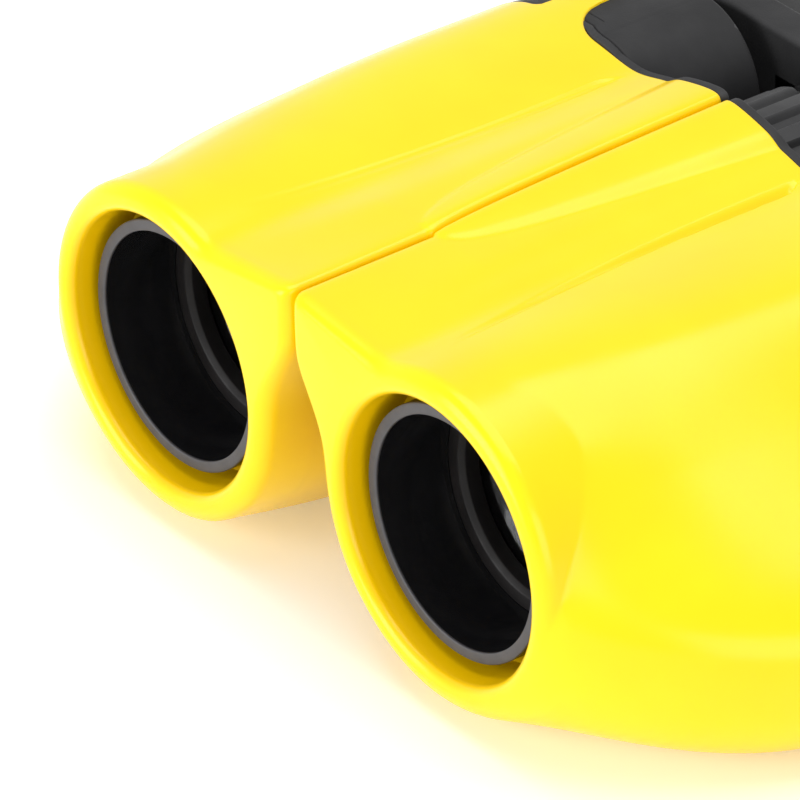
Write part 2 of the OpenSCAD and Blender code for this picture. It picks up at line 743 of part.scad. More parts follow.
module hinge_washers() color(nylon) at_hinge() for (i = [1 : 3])
  tube(knuckle_r - face_gap, hinge_tube_r + seat_fit, knuckle_starts[i] - washer_thickness - run_fit,
    knuckle_starts[i] - run_fit);

module hinge_cap() color(black) at_hinge() {
  rod(knuckle_r, knuckle_y - hinge_cap_thickness, knuckle_y);
  rod(hinge_tube_bore - seat_fit, knuckle_y, knuckle_y + 2 * hinge_cap_thickness);
}

module focus_wheel() color(black) at_hinge() difference() {
  union() {
    ribbed(wheel_r, rib_depth, rib_count, wheel_y, wheel_y + wheel_width);
    rod(journal_r, lug_y, cover_end);
  }
  rod(wheel_bore_r, lug_y - over, cover_end + over);
}

// The thread is drawn as a row of round grooves
module focus_screw() color(brass) at_hinge() {
  grooves = floor((bridge_y - hinge_end) / thread_pitch);
  root = screw_r - thread_depth;
  thread = [
    for (i = [0 : grooves - 1]) for (p = [[screw_r, 0], [root, thread_pitch / 2]])
      [p[0], hinge_end + i * thread_pitch + p[1]]
  ];
  rotate([-90, 0, 0]) rotate_extrude() polygon(concat(
    [[0, screw_start], [screw_r, screw_start]], thread,
    [[screw_r, bridge_y], [screw_r, nut_floor], [0, nut_floor]]
  ));
}

module bridge_nut() color(black) at_hinge() difference() {
  rod(nut_r, nut_y, nut_y + nut_thickness);
  rod(screw_r + seat_fit, nut_y - over, nut_floor);
}

// One arm of the eyepiece bridge; its knuckle fills the stretch from y0 to y1 of the bridge
module bridge_arm(y0, y1, hole_r) color(black) {
  clear = y0 > bridge_y ? [bridge_y - over, y0] : [y1, bridge_end + over];
  top = hinge_rise + bridge_knuckle_r;
  ring_top_shares = [0.35, 0.93];
  ring_low_shares = [-0.62, -0.78];
  ring_top = light_eye + bridge_ring_r * ring_top_shares;
  ring_low = light_eye + bridge_ring_r * ring_low_shares;
  difference() {
    union() {
      difference() {
        slab(bridge_y, bridge_end) {
          polygon([
            [0, top], [bridge_flat, top], ring_top, light_eye, ring_low,
            [0, hinge_rise - bridge_knuckle_r / 2]
          ]);
          translate(light_eye) circle(bridge_ring_r);
        }
        at_hinge() rod(bridge_knuckle_r + face_gap, bridge_y - over, bridge_end + over);
      }
      at_hinge() rod(bridge_knuckle_r, y0, y1);
      at_hinge() slab(y0, y1) translate([0, -bridge_knuckle_r / 2])
        square([bridge_flat / 2, bridge_knuckle_r]);
    }
    at_hinge() rod(hole_r, bridge_y - over, bridge_end + over);
    at_hinge() rod(bridge_knuckle_r + face_gap, clear[0], clear[1]);
    at_eye() rod(barrel_r + seat_fit, bridge_y - over, bridge_end + over);
  }
}

module left_eyepiece() color(black) at_eye() difference() {
  union() {
    rod(guide_r, tube_front, bridge_y);
    rod(barrel_r, bridge_y, barrel_end);
  }
  rod(lens_bore_r, tube_front - over, barrel_end + over);
  rod(eye_lens_r + seat_fit, ring_y, barrel_end + over);
}

module right_eyepiece() color(black) at_eye() difference() {
  union() {
    rod(guide_r, tube_front, bridge_y);
    rod(barrel_r, bridge_y, ring_end);
  }
  rod(lens_bore_r, tube_front - over, ring_end + over);
  rod(ocular_r + run_fit, ocular_bore_y, ring_end + over);
}

module ocular_cell() color(black) at_eye() difference() {
  union() {
    rod(ocular_r, ocular_y, barrel_end);
    rod(barrel_r, eyecup_y, barrel_end);
  }
  rod(lens_bore_r, ocular_y - over, barrel_end + over);
  rod(eye_lens_r + seat_fit, ring_y, barrel_end + over);
}

module field_lens() color(glass) at_eye()
  lens(lens_bore_r - seat_fit, field_lens_edge, eye_lens_bulge, field_lens_y + eye_lens_bulge);

module eye_lens() color(glass) at_eye() lens(eye_lens_r, eye_lens_edge, eye_lens_bulge, eye_lens_y);

module eye_retainer() color(black) at_eye()
  tube(eye_lens_r, eye_hole_r, eye_retainer_y, eye_retainer_y + eye_retainer_width);

module eyecup() color(rubber) at_eye() translate([0, eyecup_y, 0]) rotate([-90, 0, 0]) {
  hole = barrel_r + seat_fit;
  half = eyecup_length / 2;
  lip = eyecup_r - bridge_ring_wall;
  waist_share = 0.45;
  rim_share = 0.9;
  rotate_extrude() polygon([
    [hole, 0], [bridge_ring_r, 0], [bridge_ring_r - eyecup_waist, waist_share * eyecup_length],
    [eyecup_r, rim_share * eyecup_length], [eyecup_r - bridge_ring_wall / 4, eyecup_length],
    [lip, eyecup_length], [barrel_r - tube_wall, half + tube_wall], [barrel_r - tube_wall, half],
    [hole, half]
  ]);
}

module trim_ring() color(black) at_eye() difference() {
  tube(bridge_ring_r, barrel_r + seat_fit, ring_y, ring_end);
  tube(bridge_ring_r + over, bridge_ring_r - rib_depth, ring_y + ring_width / 3, ring_end - ring_width / 3);
}

module dioptre_grip() color(black) at_eye() difference() {
  ribbed(bridge_ring_r, rib_depth, 2 * rib_count, ring_y, ring_end);
  rod(barrel_r + run_fit, ring_y - over, ring_end + over);
}

in_part() left() front_shell(left_knuckles, hinge_tube_r + seat_fit);  // left_front_shell
in_part() front_shell(right_knuckles, hinge_tube_r + run_fit);  // right_front_shell
in_part() left() rear_cover(true);  // left_rear_cover
in_part() rear_cover(false);  // right_rear_cover
in_part() left() objective_cell();  // left_objective_cell
in_part() objective_cell();  // right_objective_cell
in_part() left() objective_lens();  // left_objective_lens
in_part() objective_lens();  // right_objective_lens
in_part() left() lens_retainer();  // left_lens_retainer
in_part() lens_retainer();  // right_lens_retainer
in_part() left() prism_cage();  // left_prism_cage
in_part() prism_cage();  // right_prism_cage
in_part() left() front_prism();  // left_front_prism
in_part() front_prism();  // right_front_prism
in_part() left() rear_prism();  // left_rear_prism
in_part() rear_prism();  // right_rear_prism
in_part() left() prism_straps();  // left_prism_straps
in_part() prism_straps();  // right_prism_straps
in_part() left() cover_screws();  // left_cover_screws
in_part() cover_screws();  // right_cover_screws
in_part() hinge_tube();
in_part() hinge_washers();
in_part() hinge_cap();
in_part() focus_wheel();
in_part() focus_screw();
in_part() bridge_nut();
in_part() left() bridge_arm(bridge_y, bridge_mid - face_gap / 2, screw_r + seat_fit);  // left_bridge_arm
in_part() bridge_arm(bridge_mid + face_gap / 2, bridge_end, screw_r + run_fit);  // right_bridge_arm
in_part() left() left_eyepiece();  // left_eyepiece_tube
in_part() right_eyepiece();  // right_eyepiece_tube
in_part() left() field_lens();  // left_field_lens
in_part() field_lens();  // right_field_lens
in_part() left() eye_lens();  // left_eye_lens
in_part() eye_lens();  // right_eye_lens
in_part() left() eye_retainer();  // left_eye_retainer
in_part() eye_retainer();  // right_eye_retainer
in_part() left() eyecup();  // left_eyecup
in_part() eyecup();  // right_eyecup
in_part() left() trim_ring();  // left_trim_ring
in_part() dioptre_grip();  // dioptre_ring
in_part() ocular_cell();  // right_ocular_cell
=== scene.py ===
# %% [markdown]
# # Toy binoculars
# A small pair of folding binoculars in glossy yellow plastic with black rear covers. The solids are
# loaded as a fixed frame. Each piece that the eye lingers on is then drawn again, finer, from the
# same formulas, and every finish is mixed from noise rather than from pictures.

# %% Load the frame
import json

import bmesh
import bpy
import numpy as np
from mathutils import Matrix, Vector
from mathutils.geometry import tessellate_polygon
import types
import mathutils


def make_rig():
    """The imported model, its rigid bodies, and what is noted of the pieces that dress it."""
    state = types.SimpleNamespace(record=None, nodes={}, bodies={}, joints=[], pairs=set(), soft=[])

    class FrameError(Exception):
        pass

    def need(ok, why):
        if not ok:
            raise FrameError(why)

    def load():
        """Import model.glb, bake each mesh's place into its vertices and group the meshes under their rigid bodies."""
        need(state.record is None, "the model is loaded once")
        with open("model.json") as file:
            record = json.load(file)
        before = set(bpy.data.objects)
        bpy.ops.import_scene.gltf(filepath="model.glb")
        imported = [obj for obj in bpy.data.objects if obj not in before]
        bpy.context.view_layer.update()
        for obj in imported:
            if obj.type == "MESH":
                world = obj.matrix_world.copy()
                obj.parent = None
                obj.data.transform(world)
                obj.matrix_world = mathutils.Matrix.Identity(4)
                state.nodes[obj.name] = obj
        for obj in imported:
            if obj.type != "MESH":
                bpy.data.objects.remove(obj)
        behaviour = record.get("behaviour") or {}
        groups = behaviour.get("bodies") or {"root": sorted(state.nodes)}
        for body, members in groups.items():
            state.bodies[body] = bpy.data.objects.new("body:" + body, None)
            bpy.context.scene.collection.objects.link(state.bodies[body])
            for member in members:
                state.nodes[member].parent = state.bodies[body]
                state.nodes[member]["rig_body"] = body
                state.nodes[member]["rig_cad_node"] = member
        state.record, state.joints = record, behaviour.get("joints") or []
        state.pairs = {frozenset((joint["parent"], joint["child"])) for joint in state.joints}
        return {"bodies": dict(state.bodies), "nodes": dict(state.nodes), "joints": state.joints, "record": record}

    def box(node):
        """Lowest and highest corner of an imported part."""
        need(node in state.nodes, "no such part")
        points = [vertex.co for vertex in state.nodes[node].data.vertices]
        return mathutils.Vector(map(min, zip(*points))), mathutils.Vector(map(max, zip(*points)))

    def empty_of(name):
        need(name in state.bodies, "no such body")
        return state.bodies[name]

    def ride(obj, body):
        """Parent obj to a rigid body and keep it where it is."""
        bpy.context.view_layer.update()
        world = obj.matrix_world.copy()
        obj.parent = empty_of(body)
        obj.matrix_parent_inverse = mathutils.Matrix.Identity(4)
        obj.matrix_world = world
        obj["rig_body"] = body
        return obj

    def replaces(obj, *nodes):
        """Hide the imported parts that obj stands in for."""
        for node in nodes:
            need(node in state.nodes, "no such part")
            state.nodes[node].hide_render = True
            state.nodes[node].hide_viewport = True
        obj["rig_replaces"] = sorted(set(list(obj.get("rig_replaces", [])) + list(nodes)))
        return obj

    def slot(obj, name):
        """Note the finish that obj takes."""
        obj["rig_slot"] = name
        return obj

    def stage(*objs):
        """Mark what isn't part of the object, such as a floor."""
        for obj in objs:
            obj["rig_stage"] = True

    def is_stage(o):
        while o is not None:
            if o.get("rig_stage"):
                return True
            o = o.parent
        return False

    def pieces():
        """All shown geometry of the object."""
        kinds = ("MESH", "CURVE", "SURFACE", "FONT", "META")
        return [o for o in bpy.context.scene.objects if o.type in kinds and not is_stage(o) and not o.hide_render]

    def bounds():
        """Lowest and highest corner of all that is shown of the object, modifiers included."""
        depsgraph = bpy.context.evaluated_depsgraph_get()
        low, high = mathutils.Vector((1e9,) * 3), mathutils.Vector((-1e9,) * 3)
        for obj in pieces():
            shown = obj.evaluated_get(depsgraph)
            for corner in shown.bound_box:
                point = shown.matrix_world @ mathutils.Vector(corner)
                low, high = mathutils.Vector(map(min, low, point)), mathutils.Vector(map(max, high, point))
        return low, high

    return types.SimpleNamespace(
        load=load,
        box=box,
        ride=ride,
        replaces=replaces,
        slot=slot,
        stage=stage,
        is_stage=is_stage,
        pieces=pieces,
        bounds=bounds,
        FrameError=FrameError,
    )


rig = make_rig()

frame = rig.load()
cad_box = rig.bounds()
print("frame:", len(frame["nodes"]), "nodes on", len(frame["bodies"]), "bodies")

# %% [markdown]
# ## One frame and one way to make a piece
# The shapes below are thought of in millimetres, with y counted from the front of the objective
# tubes and z from the axes of the barrels, because a maker measures from there. One function moves
# them into the frame's metres. A left piece is made as a right one and mirrored. That turns its
# faces inside out, so their corners are listed backwards there.

# %% Helpers for meshes
MM = 1000.0
FRONT_Y, AXIS_Z, HALF = -40.2, 18.3, 20.25  # front of the tubes, height and offset of the axes
WELD = 1e-7  # points that lie closer than this, in metres, become one
SIDES = ((-1, "left"), (1, "right"))


def in_metres(points):
    """Millimetres from the barrels' front and axes to metres in the frame."""
    return (np.asarray(points, float).reshape(-1, 3) + [0, FRONT_Y, AXIS_Z]) / MM


def make_piece(name, body, parts, material, slot, replaced=(), side=1, sharp=38):
    """One object from a list of (points, faces) in millimetres; side -1 mirrors it in x."""
    points = np.concatenate([in_metres(p) for p, _ in parts]) * [side, 1, 1]
    starts = np.cumsum([0] + [len(np.reshape(p, (-1, 3))) for p, _ in parts])
    faces = [row for start, (_, arrays) in zip(starts, parts) for f in arrays
             for row in (np.asarray(f)[:, ::side] + start).tolist()]
    mesh = bpy.data.meshes.new(name)
    mesh.from_pydata(points.tolist(), [], faces)
    shape = bmesh.new()
    shape.from_mesh(mesh)
    bmesh.ops.remove_doubles(shape, verts=shape.verts, dist=WELD)
    shape.to_mesh(mesh)
    shape.free()
    mesh.shade_smooth()
    mesh.set_sharp_from_angle(angle=np.radians(sharp))
    mesh.materials.append(material)
    piece = bpy.data.objects.new(name, mesh)
    bpy.context.scene.collection.objects.link(piece)
    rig.ride(piece, body)
    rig.slot(piece, slot)
    if replaced:
        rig.replaces(piece, *replaced)
    print(f"{name}: {len(mesh.vertices)} points, {len(mesh.polygons)} faces")


def skin(rows, close_rows=False):
    """Closed rings of points with quads between them; close_rows joins the last ring to the first."""
    count, cols = rows.shape[:2]
    i = np.arange(count if close_rows else count - 1)[:, None]
    j = np.arange(cols)[None, :]
    k, n = (i + 1) % count, (j + 1) % cols
    quads = [i * cols + j, k * cols + j, k * cols + n, i * cols + n]
    return rows, [np.stack(quads, -1).reshape(-1, 4)]


def turns(count):
    """Angles of a whole turn, in degrees, without the last one, which is the first again."""
    return np.arange(count) * 360.0 / count


def steps(low, high, count):
    """Even steps from low to high as a column, one for each ring."""
    return np.linspace(low, high, count)[:, None]


def cosd(a):
    """Cosine of an angle in degrees."""
    return np.cos(np.radians(a))


def sind(a):
    """Sine of an angle in degrees."""
    return np.sin(np.radians(a))


print("front of the tubes, halfway between the axes:", in_metres([0, 0, 0])[0], "m")

# %% [markdown]
# ## Finishes
# Toy binoculars are injection moulded. Yellow ABS comes out of a polished mould with a deep gloss
# and a faint orange-peel ripple; the black covers come out of an etched mould, so they are satin
# and finely grained. All of these share one recipe: a colour that wanders between two close shades,
# a roughness that wanders with a second noise, and a fine bump. A plain colour would look like a
# drawing.

# %% Helpers for finishes
NOISE_LOW, NOISE_HIGH = 0.3, 0.7  # most of a noise lies between these
COLOUR_A, COLOUR_B, COLOUR_OUT = 6, 7, 2  # a Mix node's sockets for colours
BLACK, WHITE = (0, 0, 0), (1, 1, 1)


def new_finish(name):
    """An empty node finish with its shader, and the piece's own coordinates to draw patterns on."""
    material = bpy.data.materials.new(name)
    material.use_nodes = True
    nodes, links = material.node_tree.nodes, material.node_tree.links
    shader = nodes["Principled BSDF"]
    place = nodes.new("ShaderNodeTexCoord").outputs["Object"]
    return material, nodes, links, shader, place


def noise(nodes, links, place, size, detail=3.0):
    """Noise whose lumps are about size millimetres wide."""
    node = nodes.new("ShaderNodeTexNoise")
    node.inputs["Scale"].default_value = MM / size
    node.inputs["Detail"].default_value = detail
    links.new(place, node.inputs["Vector"])
    return node.outputs["Fac"]


def ramp(nodes, links, value, stops):
    """A colour that runs along a value between two stops (place, colour)."""
    node = nodes.new("ShaderNodeValToRGB")
    for end, (at, colour) in zip(node.color_ramp.elements, stops):
        end.position, end.color = at, (*colour, 1)
    links.new(value, node.inputs["Fac"])
    return node.outputs["Color"]


def carry(nodes, links, value, source, target=(0, 1)):
    """A value carried from one range onto another, and held at its ends."""
    node = nodes.new("ShaderNodeMapRange")
    node.inputs["From Min"].default_value, node.inputs["From Max"].default_value = source
    node.inputs["To Min"].default_value, node.inputs["To Max"].default_value = target
    links.new(value, node.inputs["Value"])
    return node.outputs["Result"]


def lift(nodes, links, shader, value, height, strength):
    """A bump of that height in millimetres."""
    node = nodes.new("ShaderNodeBump")
    node.inputs["Distance"].default_value = height / MM
    node.inputs["Strength"].default_value = strength
    links.new(value, node.inputs["Height"])
    links.new(node.outputs["Normal"], shader.inputs["Normal"])


def mixed(nodes, links, share, colour, other):
    """A colour that turns into another one by a share from 0 to 1."""
    node = nodes.new("ShaderNodeMix")
    node.data_type = "RGBA"
    links.new(share, node.inputs["Factor"])
    links.new(colour, node.inputs[COLOUR_A])
    node.inputs[COLOUR_B].default_value = (*other, 1)
    return node.outputs[COLOUR_OUT]


# %% Moulded plastic
# The throats' colour is painted shade: more orange, for the light the yellow walls throw on each other.
THROAT_SHADE_FADE = (13.9, 13.3)  # mm from the barrel's axis where the throat's colour starts and is full
SHADE_FROM, SHADE_TO = 0.35, 0.65  # noise where the first shade ends and the second begins
WORN_FROM, WORN_TO = 0.52, 0.60  # pointiness where wear on an edge starts and is full
GLOSS_PATCH, GRAIN_DETAIL = 0.6, 2.0  # gloss patches against colour patches; octaves of the grain


def throat_shade_share(nodes, links, place):
    """Painted shade's share: 1 inside the throats and 0 outside, by the distance to the nearer barrel's axis.

    That distance is ((|x| - half)^2 + (|z| - height)^2)^0.5.
    """
    axes = nodes.new("ShaderNodeSeparateXYZ")
    links.new(place, axes.inputs["Vector"])
    flat, far = nodes.new("ShaderNodeCombineXYZ"), nodes.new("ShaderNodeVectorMath")
    for axis, middle in (("X", HALF), ("Z", AXIS_Z)):
        size, shift = nodes.new("ShaderNodeMath"), nodes.new("ShaderNodeMath")
        size.operation, shift.operation = "ABSOLUTE", "SUBTRACT"
        links.new(axes.outputs[axis], size.inputs[0])
        links.new(size.outputs[0], shift.inputs[0])
        shift.inputs[1].default_value = middle / MM
        links.new(shift.outputs[0], flat.inputs[axis])
    far.operation = "LENGTH"
    links.new(flat.outputs["Vector"], far.inputs[0])
    return carry(nodes, links, far.outputs["Value"], [r / MM for r in THROAT_SHADE_FADE])


def moulded(name, shades, patch, rough, grain, height, strength, shine=0.5, edge=None, throat=None):
    """Plastic: two shades in soft patches, a wandering gloss, a grain, worn edges, painted throat shade."""
    material, nodes, links, shader, place = new_finish(name)
    colour = ramp(nodes, links, noise(nodes, links, place, patch),
                  [(SHADE_FROM, shades[0]), (SHADE_TO, shades[1])])
    if edge:
        points = nodes.new("ShaderNodeNewGeometry").outputs["Pointiness"]
        worn = ramp(nodes, links, points, [(WORN_FROM, BLACK), (WORN_TO, WHITE)])
        colour = mixed(nodes, links, worn, colour, edge)
    # painted shade: the throats take an orange colour that stands in for light bounced between yellow walls
    if throat:
        colour = mixed(nodes, links, throat_shade_share(nodes, links, place), colour, throat)
    links.new(colour, shader.inputs["Base Color"])
    gloss = carry(nodes, links, noise(nodes, links, place, GLOSS_PATCH * patch),
                  (NOISE_LOW, NOISE_HIGH), rough)
    links.new(gloss, shader.inputs["Roughness"])
    lift(nodes, links, shader, noise(nodes, links, place, grain, GRAIN_DETAIL), height, strength)
    shader.inputs["Specular IOR Level"].default_value = shine
    return material


# %% Plastics and rubber
# The yellow shell's throat colour is painted shade, the orange of light bounced inside the hood.
yellow_shell = moulded("yellow_shell", [(0.97, 0.655, 0.002), (0.99, 0.69, 0.003)], 14,
                       (0.20, 0.27), 1.6, 0.02, 0.10, shine=0.3, throat=(1.0, 0.62, 0.001))
black_cover = moulded("black_cover", [(0.029, 0.029, 0.030), (0.037, 0.037, 0.038)], 5,
                      (0.48, 0.60), 0.22, 0.03, 0.45, shine=0.08, edge=(0.075, 0.075, 0.077))
black_plastic = moulded("black_plastic", [(0.020, 0.020, 0.021), (0.027, 0.027, 0.028)], 6,
                        (0.34, 0.46), 0.3, 0.02, 0.30, edge=(0.06, 0.06, 0.062))
wheel_plastic = moulded("wheel_plastic", [(0.044, 0.044, 0.045), (0.056, 0.056, 0.057)], 4,
                        (0.45, 0.58), 0.2, 0.03, 0.5, shine=0.12, edge=(0.09, 0.09, 0.092))
eyecup_rubber = moulded("eyecup_rubber", [(0.014, 0.014, 0.014), (0.022, 0.022, 0.022)], 4,
                        (0.62, 0.78), 0.25, 0.04, 0.5)
nylon = moulded("nylon", [(0.70, 0.69, 0.64), (0.76, 0.75, 0.70)], 3, (0.40, 0.50), 0.3, 0.02, 0.2)
ring_grey = moulded("ring_grey", [(0.007, 0.006, 0.006), (0.012, 0.010, 0.010)], 3,
                    (0.45, 0.55), 0.25, 0.02, 0.3, shine=0.25)
print("plastics and rubber made")

# %% [markdown]
# ## Tube, glass and metal
# The objective tube is turned black plastic: polished inside, and cut off square in front, where
# the bare cut face looks grey. One finish carries both, told apart by where the face lies along the
# barrel. The lenses and prisms are real glass, so what is behind them shows; the front lenses carry
# a grey tint, painted shade that keeps the inside dark. The springs are drawn steel, and the focus
# screw is turned brass with fine marks round its axis.

# %% Tube, glass and metal finishes
CUT_DEPTH = (0.1, 0.3)  # mm behind the tube's front where its cut face ends and its wall begins
CUT_ROUGH, WALL_ROUGH, SPECK = 0.5, 0.16, (0.75, 0.75, 0.76)
GLASS_INDEX, DUST_ROUGH = 1.52, (0.0, 0.05)


def cut_tube(name, wall_shade, face_shade):
    """Glossy dark wall with a grey cut face, told apart by the depth behind the tube's front."""
    material, nodes, links, shader, place = new_finish(name)
    axes = nodes.new("ShaderNodeSeparateXYZ")
    links.new(place, axes.inputs["Vector"])
    depth = carry(nodes, links, axes.outputs["Y"], [(FRONT_Y + d) / MM for d in CUT_DEPTH])
    colour = ramp(nodes, links, depth, [(0.0, face_shade), (1.0, wall_shade)])
    patches = nodes.new("ShaderNodeMix")
    patches.data_type, patches.blend_type = "RGBA", "MULTIPLY"
    patches.inputs["Factor"].default_value = 1.0
    links.new(colour, patches.inputs[COLOUR_A])
    specks = ramp(nodes, links, noise(nodes, links, place, 1.2, 4.0),
                  [(NOISE_LOW, SPECK), (NOISE_HIGH, WHITE)])
    links.new(specks, patches.inputs[COLOUR_B])
    links.new(patches.outputs[COLOUR_OUT], shader.inputs["Base Color"])
    rough = carry(nodes, links, depth, (0, 1), (CUT_ROUGH, WALL_ROUGH))
    links.new(rough, shader.inputs["Roughness"])
    lift(nodes, links, shader, noise(nodes, links, place, 0.5), 0.01, 0.2)
    return material


def clear_glass(name, tint):
    """Polished glass with a tint and traces of dust."""
    material, nodes, links, shader, place = new_finish(name)
    shader.inputs["Base Color"].default_value = (*tint, 1)
    shader.inputs["Transmission Weight"].default_value = 1.0
    shader.inputs["IOR"].default_value = GLASS_INDEX
    dust = noise(nodes, links, place, 2.5, 5.0)
    rough = carry(nodes, links, dust, (NOISE_LOW, NOISE_HIGH), DUST_ROUGH)
    links.new(rough, shader.inputs["Roughness"])
    return material


def drawn_metal(name, shades, rough, line):
    """Metal with fine marks: noise drawn out along each axis whose scale in line is small."""
    material, nodes, links, shader, place = new_finish(name)
    squeeze = nodes.new("ShaderNodeMapping")
    squeeze.inputs["Scale"].default_value = line
    links.new(place, squeeze.inputs["Vector"])
    marks = noise(nodes, links, squeeze.outputs["Vector"], 0.4, 4.0)
    colour = ramp(nodes, links, marks, [(NOISE_LOW, shades[0]), (NOISE_HIGH, shades[1])])
    links.new(colour, shader.inputs["Base Color"])
    gloss = carry(nodes, links, marks, (NOISE_LOW, NOISE_HIGH), rough)
    links.new(gloss, shader.inputs["Roughness"])
    shader.inputs["Metallic"].default_value = 1.0
    lift(nodes, links, shader, marks, 0.01, 0.3)
    return material


cell_black = cut_tube("cell_black", (0.008, 0.008, 0.009), (0.060, 0.059, 0.066))
lens_glass = clear_glass("lens_glass", (0.86, 0.90, 0.92))
# The front lenses' grey tint is painted shade: it darkens the view into the housing.
front_glass = clear_glass("front_glass", (0.62, 0.62, 0.63))
prism_glass = clear_glass("prism_glass", (0.92, 0.96, 0.95))
spring_steel = drawn_metal("spring_steel", [(0.55, 0.56, 0.57), (0.68, 0.69, 0.70)], (0.22, 0.36),
                           (1, 0.1, 1))
brass = drawn_metal("brass", [(0.68, 0.47, 0.17), (0.80, 0.58, 0.25)], (0.20, 0.34), (0.3, 1, 0.3))
print("tube, glass and metal made")

# %% [markdown]
# ## The section of one half
# Cut across the barrels, one half is a polygon with rounded corners round its barrel's axis: crest,
# sloping shoulder, side, sloping lower side, belly and inner side. A neat way to write such a
# section is in polar form: each side line pulls the radius in, and a high power of the pulls is
# summed, which rounds the corners. Along the barrel the section grows from the lip's circle to the
# full housing, the shoulder later than the side. This gives the soft flare without any sculpting.

# %% Section formulas
# A side line is (angle of its normal in degrees, distance from the barrel's axis).
CREST, SLOPE, SIDE, LOW_SIDE = (90, 16.4), (53, 18.4), (-10, 34.0), (-55, 29.8)
BELLY, INNER_LOW, INNER, INNER_SLOPE = (-90, 20.2), (218, 16.7), (180, 15.2), (108, 16.8)
OUTER_LINES = [CREST, SLOPE, SIDE, LOW_SIDE, BELLY, INNER_LOW]
LIP_R, LIP_Y, JOINT_Y, WALL = 16.0, -2.3, 46.6, 2.2
FLARE_LENGTH, SLOPE_DELAY, DELAY_POWER = 32.0, 8.0, 4
FLARE_POWER, LOW_GAIN, LOW_A = 2, 0.5, -60


def rounded(a, lines, power=14.0):
    """Radius in direction a: (sum of (max(0, cos(a - n)) / d)^p)^(-1/p) over side lines (n, d)."""
    return sum((np.maximum(0, cosd(a - n)) / d) ** power for n, d in lines) ** (-1 / power)


def reach(n, x, z):
    """Distance from the barrel's axis to the line through (x, z) whose normal has angle n."""
    return cosd(n) * (x - HALF) + sind(n) * z


def flare(a, y):
    """Growth from lip to housing: 1 - (1 - t)^p, with t late on the shoulder and p higher below."""
    delay = SLOPE_DELAY * np.maximum(0, cosd(a - SLOPE[0])) ** DELAY_POWER
    t = np.clip((y - LIP_Y - delay) / FLARE_LENGTH, 0, 1)
    return 1 - (1 - t) ** (FLARE_POWER + LOW_GAIN * np.maximum(0, cosd(a - LOW_A)))


def body_r(a, y):
    """The lip's radius, plus the flare's share of the way to the rounded housing."""
    return LIP_R + (rounded(a, OUTER_LINES + [INNER, INNER_SLOPE]) - LIP_R) * flare(a, y)


print(f"housing at the joint: side {body_r(SIDE[0], JOINT_Y):.2f} mm from the barrel's axis")

# %% [markdown]
# ## Web, spine and furrow
# Between the barrels each half carries half of a flat web, which closes the gap between them at the
# top. On it rises a spine with a blunt nose, and a narrow furrow with a closed end runs beside it.
# Web and spine are radii about the barrel's axis too, so they merge with the body by power sums
# rather than by joining solids, and the furrow is then taken off the sum.

# %% Web and spine
SPINE_Y, SEAM_GAP, FOLD_POWER, HIDDEN_R = 13.6, 0.15, 40.0, 0.1
WEB_TOP, TOP_GAIN, WEB_LEAN, LEAN_GAIN = 15.9, 0.6, 83, 6
UNDER_Y, UNDER_RUN, UNDER_Z, UNDER_RISE, UNDER_A, UNDER_TURN = 4.0, 1.5, 9.9, 3.0, 212, 18
FLANK_A, FLANK_X = 70, 7.6
SPINE_GAIN, SPINE_HALF, GAIN_POWER, HALF_POWER = 1.76, 7.4, 0.31, 0.33
# Two lines of the hump: a point on each, and its run and fall, in shares of half width and gain.
HUMP_LINES = ((0.54, 0.71, 0.4, 0.46), (1.0, 0.0, 0.12, 0.4))


def seam_lines(y):
    """The web's side lines: seam plane, sloping underside, and two that close it in the barrel."""
    t = np.clip((y - UNDER_Y) / UNDER_RUN, 0, 1)
    under, n = UNDER_Z + UNDER_RISE * t, UNDER_A + UNDER_TURN * t
    return [(180, HALF - SEAM_GAP), (n, reach(n, 0, under)), (0, WALL), (-90, LIP_R / 2)]


def web_top(y):
    """Height of the web at the seam, rising evenly towards the joint."""
    return WEB_TOP + TOP_GAIN * np.clip(y / JOINT_Y, 0, 1)


def web_lean(y):
    """Angle of the web's normal, which turns almost upright up to the spine's nose."""
    return WEB_LEAN + LEAN_GAIN * np.clip(y / SPINE_Y, 0, 1)


def web_r(a, y):
    """The web's radius: its top line, and a flank line that falls to the barrel."""
    n, top = web_lean(y), web_top(y)
    lines = [(n, reach(n, 0, top)), (FLANK_A, reach(FLANK_A, FLANK_X, top))]
    return rounded(a, seam_lines(y) + lines, FOLD_POWER)


def spine_r(a, y):
    """The spine's radius: height grows as t^0.31 and half width as t^0.33 from nose to joint.

    In front of the nose it is so small that the merging hides it.
    """
    t = np.clip((y - SPINE_Y) / (JOINT_Y - SPINE_Y), 1e-6, 1)
    gain, half = SPINE_GAIN * t ** GAIN_POWER, SPINE_HALF * t ** HALF_POWER
    n, top = web_lean(y), web_top(y)
    hump = [(n, reach(n, 0, top + gain))]
    for x, up, run, rise in HUMP_LINES:
        n = np.degrees(np.arctan2(run * half, rise * gain))
        hump.append((n, reach(n, x * half, top + up * gain)))
    return np.where(y > SPINE_Y, rounded(a, seam_lines(y) + hump, FOLD_POWER), HIDDEN_R)


print(f"web {web_top(0):.2f} to {web_top(JOINT_Y):.2f} mm, spine up to {SPINE_GAIN} mm more")

# %% The whole section
FURROW_X = (15.74, -0.165, 0.00222)  # its middle is c0 + c1 y + c2 y^2 from the seam
FURROW_SLANT = 1.6  # its closed end lies that much further forward for each mm outwards
FURROW_DEPTH = ([4, 14, 30, 41, 43.2, 44.4], [0, 0.35, 0.75, 1.0, 1.05, 0])
FURROW_WIDTH = ([5, 20, 45], [0.45, 0.5, 0.56])
INNER_A, INNER_POWER, OUTER_POWER, SPINE_POWER = 143.7, 12.0, 20.0, 90
COLUMNS = 432


